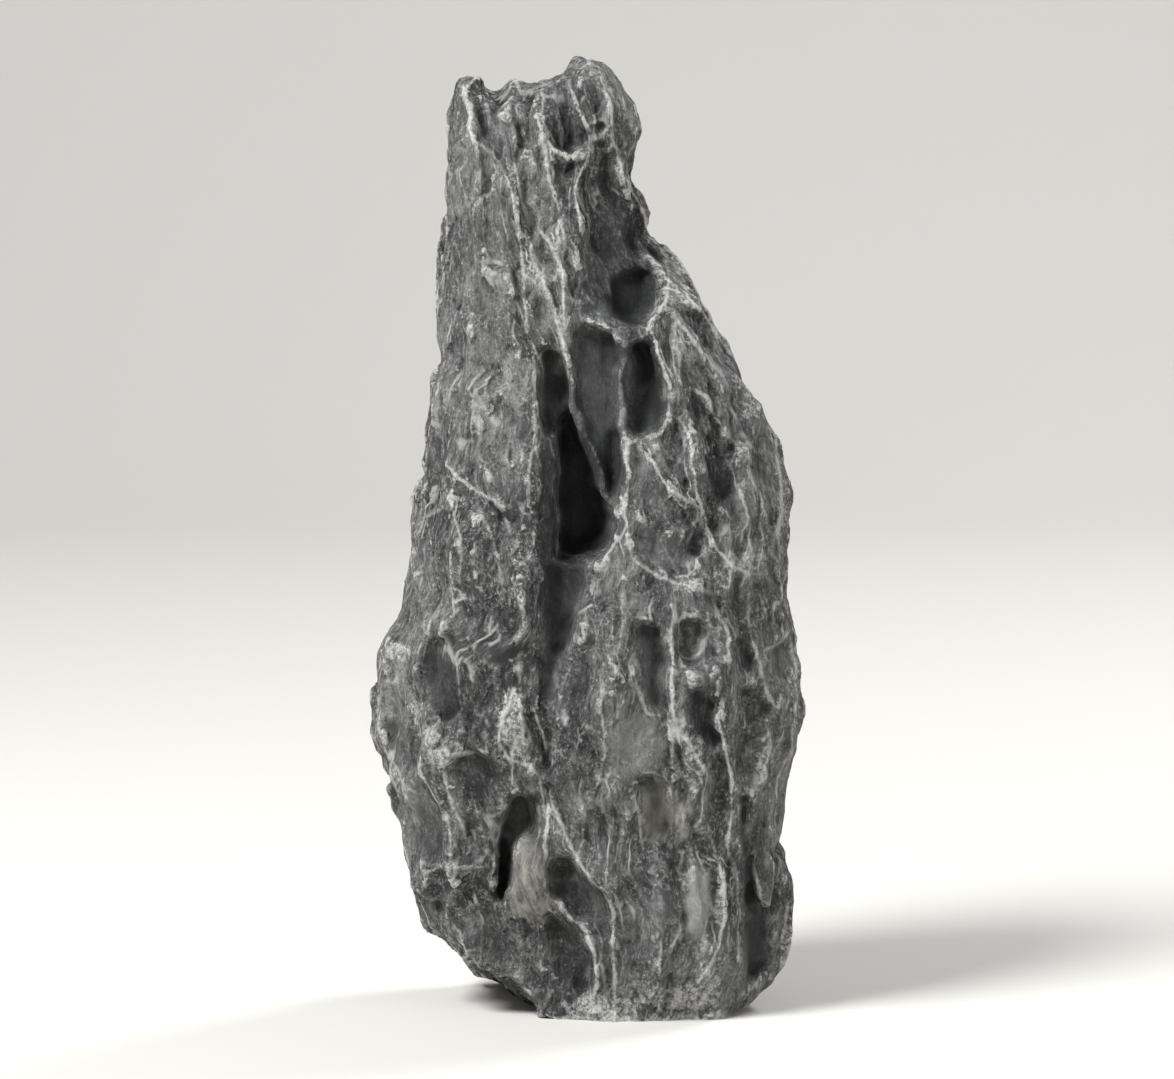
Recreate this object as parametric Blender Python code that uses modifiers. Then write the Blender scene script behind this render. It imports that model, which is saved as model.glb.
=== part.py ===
"""One upright slab of seiryu stone, a weathered grey limestone, standing on its broken flat foot.

The slab is worked the way a carver would: a block is roughed out to the outline, split along flat
faces, swelled and hollowed, fluted, and cut off level where it rests. It is one solid.
The front faces -Y, +Z is up, and the origin is at the middle of the foot's level, under the stone.
"""

import bpy
import numpy as np
from mathutils import Vector, noise

MM = 0.001  # every size below is in millimetres, and Blender's unit is the metre

# Driving dimensions
HEIGHT = 214.5
FOOT_SINK = 6.0  # how far the rough block reaches below the level of the cut foot
SQUARENESS = 2.9  # exponent of the plan outline: 2 is an ellipse, 4 nearly a rectangle

# How the block is meshed while it is worked
ROUGH_GRAIN = 1.7  # size of the working mesh's faces for the broad forms
FINE_GRAIN = 1.15  # and for the hollows and crests
MOST_TRIANGLES = 9300

# The block's outline seen from the front: height, then where the edge is
LEFT_EDGE = (
    (0, -33), (10, -34.5), (20, -36.5), (27, -39.6), (34, -40.5), (42, -41.6), (50, -44.6),
    (57, -47), (61, -48.4), (67, -46.9), (76, -47.7), (83, -46), (87, -41), (92, -38.5), (99, -37.1),
    (108, -39.1), (113, -37), (120, -36.5), (133, -36.1), (141, -35.2), (145, -31.6), (158, -34),
    (168, -34.3), (178, -36), (186, -37.6), (196, -38.6), (203, -39.6), (207, -36.2), (211, -30.4),
)
RIGHT_EDGE = (
    (0, 40), (8, 42.4), (13, 45.8), (20, 46.8), (28, 46.3), (35, 43), (42, 45), (50, 45), (57, 46.1),
    (63, 47.6), (71, 46.8), (80, 47.6), (88, 47.5), (93, 45.1), (110, 45.5), (117, 45.4), (122, 45.2),
    (128, 42.6), (135, 42.9), (142, 38.3), (147, 32), (153, 29.4), (160, 26.4), (167, 18.6),
    (172, 12.9), (178, 13.5), (185, 10.4), (197, 10.7), (203, 10.4), (208, 8.2), (212, 6.4), (216, 4),
)
# Its outline seen from the side
FRONT_FACE = (
    (0, -23), (12, -26), (30, -28.5), (60, -30), (95, -28.5), (125, -26), (150, -22.5), (175, -17.5),
    (195, -13.5), (214, -8),
)
BACK_FACE = (
    (0, 24), (15, 27), (40, 29.5), (75, 30), (105, 27.5), (130, 24), (160, 20), (185, 14.5), (200, 11),
    (214, 6),
)
# The crown seen from the front: place across the slab, then height
CROWN = (
    (-38, 203), (-33, 207.4), (-30, 209.4), (-27.5, 210.4), (-24.5, 211), (-22.5, 205.4), (-20.5, 203.6),
    (-17, 209.4), (-13, 205), (-8, 208.6), (-4, 210.8), (0, 213.2), (3.5, 214.4), (6.5, 211),
    (9.5, 205), (12.5, 196.4),
)
CROWN_FALL = 7.0  # how much lower the crown is at its front and back

# Flat faces the block is split along: a point on each, its outward direction, and how much is taken
FACETS = (
    ("left flank", (-40, -14, 80), (-0.80, -0.58, 0.12), 0.85),
    ("upper left panel", (-24, -21.5, 150), (-0.30, -0.94, 0.13), 0.8),
    ("right flank", (37, -17, 110), (0.66, -0.73, 0.16), 0.85),
    ("lower right flank", (42, -14, 30), (0.82, -0.56, -0.04), 0.8),
    ("back left split", (-31, 15, 90), (-0.70, 0.70, 0.10), 0.9),
    ("back right split", (33, 16, 80), (0.62, 0.77, 0.12), 0.9),
    ("back upper slope", (-8, 19, 165), (-0.12, 0.95, 0.28), 0.85),
    ("back lower slab", (2, 28, 50), (0.08, 0.99, -0.05), 0.8),
    ("right shoulder back", (20, 10, 165), (0.75, 0.60, 0.28), 0.85),
    ("crown back", (4, 8, 200), (0.45, 0.84, 0.30), 0.9),
    ("crown left back", (-27, 8, 196), (-0.55, 0.78, 0.30), 0.85),
)

# Beds run from foot to crown, and follow the stone's two edges by this share
FOLLOW = 0.55
BED_WIDTH = 84
# Wrinkles along the beds: width, depth and height of a trough, and how far the crests between the
# troughs stand out
FLUTES = (((10, 10, 34), 2.9), ((6.0, 6.0, 18), 2.5))

# Breaks: width, depth and height of a facet, how far it tilts, and a number that sets its own pattern
BREAKS = (((17, 17, 26), 0.09, 1.5),)
MOST_BREAK = 0.9

# The stone is worked from five sides: which way is across and up on each, and which way is into it
SIDES = {
    "front": ((1, 0, 0), (0, 0, 1), (0, 1, 0)),
    "right": ((0, 1, 0), (0, 0, 1), (-1, 0, 0)),
    "back": ((-1, 0, 0), (0, 0, 1), (0, -1, 0)),
    "left": ((0, -1, 0), (0, 0, 1), (1, 0, 0)),
    "top": ((1, 0, 0), (0, 1, 0), (0, 0, -1)),
}

BEND = 0.8

# Broad swellings of a side: across, height, half width, half height, how far they stand out
SWELLINGS = {
    "front": (
        ("upper left rib", -24, 150, 11, 62, 2.5),
        ("lower left bulge", -31, 76, 15, 27, 4.5),
        ("lower left foot", -32, 40, 13, 16, 1.5),
        ("crown knob", 2, 204, 8, 11, 2.5),
        ("shield", 17, 116, 10, 18, 4.5),
        ("right bulge", 37, 116, 9, 24, 2.0),
        ("middle rib", 6, 64, 10, 26, 5.0),
        ("right middle rib", 25, 72, 8, 24, 3.0),
        ("lower middle", 14, 24, 17, 26, 4.5),
        ("tongue", -12.8, 33, 3.4, 9.5, 4.0),
        ("triangle", -16.4, 68, 2.8, 7.5, 1.8),
        ("low plate", 25, 27, 3.2, 10, 1.4),
        ("right flange", 41, 28, 6, 24, 1.5),
    ),
    "right": (
        ("right belly", 4, 70, 12, 26, 0.8),
    ),
    "back": (
        ("long spine", 12, 120, 8, 80, 5.0),
        ("low shoulder", -24, 62, 14, 30, 5.0),
        ("heel", 22, 22, 16, 16, 3.5),
        ("crown lobe", 20, 192, 9, 14, 1.0),
    ),
    "left": (
        ("left belly", -2, 84, 12, 18, 1.5),
    ),
}

# Scoops of a side that water wore: the rim as points across and up, the depth, how wide the walls
# are, and how much deeper it gets towards its right and towards its top
SCOOPS = {
    "front": (
        ("black slot", ((-5.6, 138.6), (-3.8, 137.6), (-1.6, 133.6), (0.6, 128.8), (2.6, 124),
         (3.8, 119.6), (6, 115.6), (6.7, 111.4), (5.6, 107), (2.4, 103.4), (-2.6, 101.8), (-6.8, 102.2),
         (-8, 107), (-7.9, 118), (-7.6, 129), (-6.8, 135)), 20.0, 3.8, (0.2, 0)),
        ("pocket above the slot", ((-10.8, 150.2), (-8.4, 151.2), (-5.6, 149.6), (-3.6, 145.2),
         (-2.9, 140.6), (-3.4, 136), (-4.8, 131.6), (-6.8, 129.8), (-9.4, 130.4), (-11.2, 134.4),
         (-11.7, 141.5)), 7.5, 2.6, (0.2, 0)),
        ("slot bank", ((-10.4, 131), (-6.8, 131), (-6.4, 101), (-6.6, 96), (-10.6, 95), (-10.9, 115)),
         3.4, 2.2, (0.5, -0.2)),
        ("left scallop", ((-3.8, 152.8), (-1.6, 155.6), (1.6, 155.6), (5.6, 153.6), (7.2, 151.6),
         (7.2, 146), (6.8, 140.5), (7.2, 135), (8.2, 131), (8.4, 126), (8, 121), (7, 115.6),
         (5.4, 113.4), (4.2, 117.8), (2.6, 122.8), (0.6, 128.4), (-1.8, 134), (-3.6, 138), (-4.2, 146)),
         5.0, 3.0, (0.4, 0.1)),
        ("right scallop", ((7.8, 152), (9.6, 153), (12.8, 153), (15.2, 151.4), (16, 146.4),
         (16.8, 141), (17.2, 136), (16.4, 132.4), (13.6, 130.6), (10, 130.6), (8.8, 133.4), (8.4, 138),
         (7.8, 144)), 6.0, 3.0, (0.4, 0.05)),
        ("low scallop", ((1.6, 131), (4.6, 133.6), (8, 132.6), (8.8, 126), (8.4, 121), (7.4, 116),
         (5.8, 113.4), (4.6, 117.8), (3, 122.8)), 6.6, 2.4, (0.5, 0)),
        ("bay", ((1.8, 194.6), (4.6, 196), (6.6, 191), (8.2, 184.6), (12, 179), (14.6, 172.4),
         (16.4, 166), (17.4, 161), (15, 156.4), (12, 153.8), (8.4, 152.8), (3.4, 154.6), (-0.6, 157.6),
         (-2.6, 164), (-2, 172), (-0.8, 180), (-0.2, 188)), 7.0, 6.5, (0.5, -0.1)),
        ("bay bowl", ((2.4, 160.4), (3.2, 164.8), (6.4, 167.8), (11, 168.4), (15.2, 166.6), (16.8, 162),
         (15.8, 157.2), (13, 154.2), (9.4, 152.8), (5.6, 153.4), (3, 156.4)), 10.4, 4.0, (0.1, 0.1)),
        ("crown cup", ((-10.2, 202), (-8.6, 205.6), (-5.2, 206.4), (-2.6, 204), (-0.2, 200),
         (1.5, 196.4), (1, 193.4), (-2, 192.2), (-5, 192.5), (-8, 194.4), (-9.8, 197.6)), 2.8, 3.4,
         (0.5, -0.4)),
        ("knob cup", ((-2.6, 207), (2, 209), (4.6, 205.6), (5.8, 200), (5, 196), (2, 195.6),
         (0.4, 198.6), (-1.4, 202.6)), 1.1, 3.0, (-0.2, 0)),
        ("under the crown cup", ((-8.6, 191.6), (-4, 191.6), (-1.4, 191), (-2.6, 186), (-4, 180),
         (-6, 181.6), (-7.6, 187)), 2.0, 2.4, (0.3, 0.4)),
        ("crown groove", ((-24.6, 207.6), (-22.8, 203), (-20.6, 198.4), (-21.2, 195), (-24, 195.4),
         (-25.4, 200)), 2.4, 1.6, (-0.3, 0)),
        ("crown dip", ((-17.5, 206.4), (-12, 206), (-10.6, 199), (-11.6, 193), (-15.6, 191.4),
         (-17, 198)), 1.2, 3.0, (0, 0)),
        ("channel under the slot", ((-10.4, 104), (-3, 105), (1.6, 104), (1.4, 97), (-0.6, 90), (-4, 82),
         (-6.8, 74), (-7.8, 65), (-9.4, 65), (-10.8, 74), (-11, 84), (-10.8, 93)), 6.0, 4.6, (-0.2, 0.2)),
        ("channel crack", ((-10, 72), (-7.4, 70), (-7.2, 60), (-7.8, 49), (-9.2, 49), (-9.6, 60)),
         3.6, 1.4, (0, 0)),
        ("left bulge hollow", ((-36.8, 83.6), (-33.4, 85), (-29.4, 83), (-26, 78.6), (-25, 73.4),
         (-27.4, 69.4), (-31.4, 67.8), (-35, 70.6), (-37, 76)), 4.2, 4.4, (-0.6, -0.1)),
        ("left bulge dish", ((-38.4, 86), (-33, 88.4), (-24, 86), (-18.6, 79), (-19.4, 71), (-26, 65.8),
         (-33, 66), (-38, 72)), 3.4, 5.8, (-0.5, -0.2)),
        ("left step", ((-30, 61.4), (-25, 62.2), (-20, 60.6), (-18.6, 55.6), (-20, 50.4), (-25, 49.2),
         (-29, 51.4), (-30.6, 56.6)), 2.6, 2.4, (0, 0.5)),
        ("edge facet", ((-45.6, 65.4), (-41.4, 66.2), (-37.6, 65.2), (-36.6, 60.6), (-38, 56.4),
         (-42, 56.4), (-44.6, 60.6)), 2.0, 1.8, (-0.2, 0.2)),
        ("shield cap", ((9.8, 129.4), (13.4, 130.6), (16.6, 132.6), (20.2, 134.4), (22, 130.4),
         (23, 125), (24, 119.8), (21, 119.6), (18, 122), (15.2, 126), (13, 128.6)), 1.5, 2.4, (0.3, 0)),
        ("shield left", ((9.4, 127.4), (12.4, 127.6), (15, 123.6), (19, 119.4), (23.4, 115.8),
         (24.8, 113), (21, 109.6), (15, 112), (11.4, 115.6), (9.2, 119)), 1.5, 3.4, (-0.4, 0.2)),
        ("shield low", ((9.2, 117.4), (11.6, 114.6), (15, 111.4), (21, 109.2), (25.6, 112.4),
         (26.8, 109), (25.6, 104.4), (21.8, 100.4), (18.6, 99.8), (12, 104), (9.6, 107.2)),
         1.2, 3.6, (0.2, -0.2)),
        ("right of the shield", ((23, 140.6), (27, 138.8), (28.8, 135), (31, 131.2), (30, 127.6),
         (26.4, 127.6), (23.6, 131.6), (22.8, 136)), 2.6, 2.2, (0.4, 0)),
        ("right bulge face", ((25, 126), (30, 127), (33.6, 123.4), (33, 118.6), (28.6, 113),
         (26, 116.6)), 2.4, 2.6, (0.4, 0.2)),
        ("crease pocket", ((-22, 117.6), (-20, 116.8), (-18, 113.8), (-17.6, 111.6), (-19.4, 112.4),
         (-21.4, 115)), 3.2, 1.0, (0, 0)),
        ("low pocket", ((-17, 50.8), (-14, 52.6), (-10.6, 51), (-9.7, 46), (-10.2, 41.4), (-13, 41.4),
         (-15.6, 38), (-17, 30), (-18.4, 26), (-20, 28), (-20.5, 37), (-20, 44)), 7.0, 3.6, (-0.5, 0.1)),
        ("low pocket slit", ((-20.2, 40), (-18, 42.4), (-16.6, 38), (-16.8, 30.6), (-18, 26),
         (-19.8, 26.6), (-20.6, 34)), 11.0, 2.0, (0, 0)),
        ("middle recess", ((9.7, 89.8), (13, 91.6), (17.4, 90.2), (18.2, 82), (18, 74.6), (16.6, 70.6),
         (13.4, 70.4), (12, 75), (10.6, 82)), 3.6, 3.0, (0.3, 0)),
        ("ragged face", ((20.4, 91.6), (25.4, 92), (29, 88.6), (30.4, 83.4), (27, 79.4), (22.4, 78.6),
         (20, 84)), 2.2, 2.4, (0.2, 0.4)),
        ("dark face", ((21, 75.8), (25, 77.4), (28.6, 73.6), (28.4, 67.8), (30, 63), (27.4, 61.8),
         (24.4, 65), (22, 70)), 2.8, 2.0, (0.3, 0.2)),
        ("upper bolt face", ((32.4, 87), (35.4, 86.6), (37.2, 82), (37, 78), (34, 77.4), (31.8, 81)),
         2.0, 1.8, (0.4, 0)),
        ("bolt face", ((33.6, 75.6), (38.4, 75.2), (40.6, 71.8), (41.6, 68.4), (38, 66), (34.2, 67.6)),
         2.6, 2.0, (0.4, 0.2)),
        ("rim face", ((39.2, 83), (41.4, 84.6), (46, 85.4), (49, 80), (47, 75), (42.8, 74.2),
         (40.6, 76.4), (39.6, 80)), 2.2, 2.0, (-0.2, 0.2)),
        ("small hole", ((18.7, 63.8), (20.4, 64.4), (21.7, 60.4), (22.4, 56.6), (21.7, 55.2), (20, 58.8)),
         5.0, 1.3, (0, 0)),
        ("right of the tongue", ((-8.8, 33.8), (-6.4, 37), (-3, 37), (0, 33.8), (4, 29.8), (5.5, 25.8),
         (5, 19.6), (2.2, 19), (-0.2, 22.2), (-4, 25.8), (-8.2, 28.6)), 2.4, 2.8, (-0.3, 0)),
        ("foot facet", ((-9.6, 26.2), (-5, 23.6), (-1, 19.4), (1.5, 13.6), (1.6, 6), (-2, 4),
         (-5.4, 6.6), (-8.8, 14), (-10.4, 20)), 2.5, 3.0, (0.3, 0.3)),
        ("olive pit", ((10.8, 54.4), (14, 56), (17.4, 53.8), (18.4, 48), (17.8, 42), (14, 40),
         (11.6, 42.4), (11.2, 48)), 3.0, 3.8, (0.2, 0.1)),
        ("right gutter", ((33.2, 51), (36.8, 50.6), (36, 42), (36.6, 35), (38.6, 30), (40.2, 24),
         (42, 16), (43, 10), (38, 7.6), (35, 7.4), (34.6, 16), (34.2, 26), (34, 36), (33.2, 44)),
         6.0, 2.6, (-0.35, 0)),
    ),
}

# Scoops of the front that water wore smooth, and how smooth
CALM = (
    ("black slot", 1.0), ("pocket above the slot", 1.0), ("slot bank", 0.75), ("left scallop", 1.0),
    ("right scallop", 1.0), ("low scallop", 0.9), ("bay", 0.6), ("bay bowl", 1.0),
    ("channel under the slot", 0.8), ("low pocket", 0.9), ("low pocket slit", 1.0),
    ("middle recess", 0.8), ("olive pit", 0.7), ("right gutter", 0.9), ("left bulge hollow", 0.7),
    ("left step", 0.4), ("rim face", 0.5), ("right of the tongue", 0.6), ("foot facet", 0.4),
    ("shield left", 0.5), ("shield low", 0.7), ("dark face", 0.4),
)

# Lesser hollows of a side: across, height of the deepest point, half width, reach up, reach down,
# depth, lean in degrees
HOLLOWS = {
    "front": (
        ("right bulge hollow", 30.6, 123.6, 4.6, 5.5, 7.5, 3.0, -8),
        ("shoulder groove", 26, 152.6, 1.8, 9, 8, 2.8, -38),
        ("shoulder groove, lower", 25.6, 143, 2.4, 6, 9, 2.4, -28),
        ("post groove", 18.6, 152, 1.3, 8, 10, 1.6, 6),
        ("flute gap", -9.2, 171, 1.2, 4, 6, 2.4, -14),
        ("flute gap, low", -6.5, 161, 1.0, 4, 6, 2.4, -14),
        ("flute gap, inner", -3.4, 168, 1.2, 9, 10, 2.0, -8),
        ("flute gap, left", -12.8, 183, 1.6, 8, 12, 2.2, -8),
        ("flute gap, high", -15.6, 197, 1.4, 8, 11, 2.4, -4),
        ("flute gap, upper", -10.8, 190, 1.1, 7, 8, 1.8, -8),
        ("panel crease", -24.5, 117, 2.8, 10, 9.5, 1.5, -51),
        ("panel hollow", -22, 161, 4.0, 9, 11, 1.2, 4),
        ("left lower facet", -36, 43, 5.0, 11, 10, 2.6, 6),
        ("left lowest facet", -27, 27, 8.0, 8, 10, 1.2, 0),
        ("left step", -25, 48, 9.5, 11, 13, 1.4, 8),
        ("bulge step hollow", -41, 68, 4.0, 8, 9, 1.8, 12),
        ("soft recess", -1, 78, 4.0, 10, 12, 2.4, 0),
        ("right edge notch", 45, 46, 4.5, 11, 9, 2.8, 0),
        ("under the right ledge", 41.4, 79, 4.0, 5, 9, 2.8, 0),
        ("right low hollow", 35, 60, 2.6, 6, 8, 1.8, 0),
        ("low right dish", 20.5, 30, 3.0, 12, 18, 1.8, 0),
        ("lower middle dish", 11, 23, 5.0, 12, 15, 2.6, 0),
        ("middle dish", 4, 43, 6.0, 7, 8, 2.0, 0),
        ("flange hollow", 42.6, 21, 2.4, 9, 9, 1.8, 4),
    ),
    "right": (
        ("shoulder dish", -3, 152, 7, 16, 26, 4.0, 8),
        ("long flute", 9, 118, 4.5, 34, 40, 5.0, -4),
        ("deep pit", -6, 88, 3.6, 10, 12, 7.0, 6),
        ("low dish", 4, 44, 8, 16, 20, 4.0, -8),
        ("high groove", 4, 190, 3.5, 12, 16, 3.0, 4),
        ("back pit", 16, 60, 3.2, 8, 9, 5.0, 0),
        ("foot notch", -14, 18, 5, 12, 12, 3.5, 0),
    ),
    "back": (
        ("long gully", -3, 108, 5.5, 62, 58, 10.0, 4),
        ("gully head", 3, 172, 5, 14, 22, 6.0, -8),
        ("upper scoop", 24, 152, 8, 20, 30, 5.5, 6),
        ("spine cup", 15, 132, 4.2, 9, 12, 5.0, 0),
        ("left bowl", -22, 132, 9, 16, 22, 5.0, -10),
        ("deep hole", -14, 96, 4.2, 9, 12, 11.0, 8),
        ("twin hole", -23, 104, 3.4, 7, 9, 7.0, 4),
        ("shelf bowl", 24, 92, 8, 14, 20, 5.0, 10),
        ("shelf pit", 31, 72, 4, 9, 11, 6.0, 0),
        ("low scoop", 6, 42, 8, 15, 22, 5.5, -6),
        ("low slot", -12, 36, 2.6, 14, 14, 7.0, 6),
        ("heel cup", 24, 34, 6, 9, 12, 4.0, 0),
        ("low left bowl", -30, 46, 7, 14, 18, 4.5, -6),
        ("knob dish", -5, 197, 4.5, 8, 12, 3.5, 8),
        ("knob flute", 3.5, 186, 2.8, 16, 18, 4.0, -3),
        ("crown dish", 12, 196, 4.5, 9, 12, 3.5, 10),
        ("crown flute", 26, 190, 3, 12, 18, 3.5, -4),
    ),
    "left": (
        ("upper flute", 2, 168, 4.5, 28, 34, 4.0, 3),
        ("rear flute", -9, 122, 4.0, 26, 30, 4.5, -3),
        ("front flute", 9, 112, 3.6, 18, 22, 3.5, 4),
        ("belly pit", -3, 76, 4.4, 9, 12, 6.0, 8),
        ("low flute", 6, 42, 4.6, 14, 18, 4.0, -6),
        ("rear low bowl", -14, 52, 6, 14, 18, 4.5, 4),
    ),
    "top": (
        ("left lobe pit", -25, 2, 3.6, 4, 6, 3.0, 20),
        ("saddle", -13, 8, 4.0, 4, 6, 2.4, -10),
        ("knob dish", 2, 4, 3.4, 4, 5, 2.4, 0),
        ("shoulder pit", 26, 2, 4.5, 7, 7, 3.5, 15),
    ),
}

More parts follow.
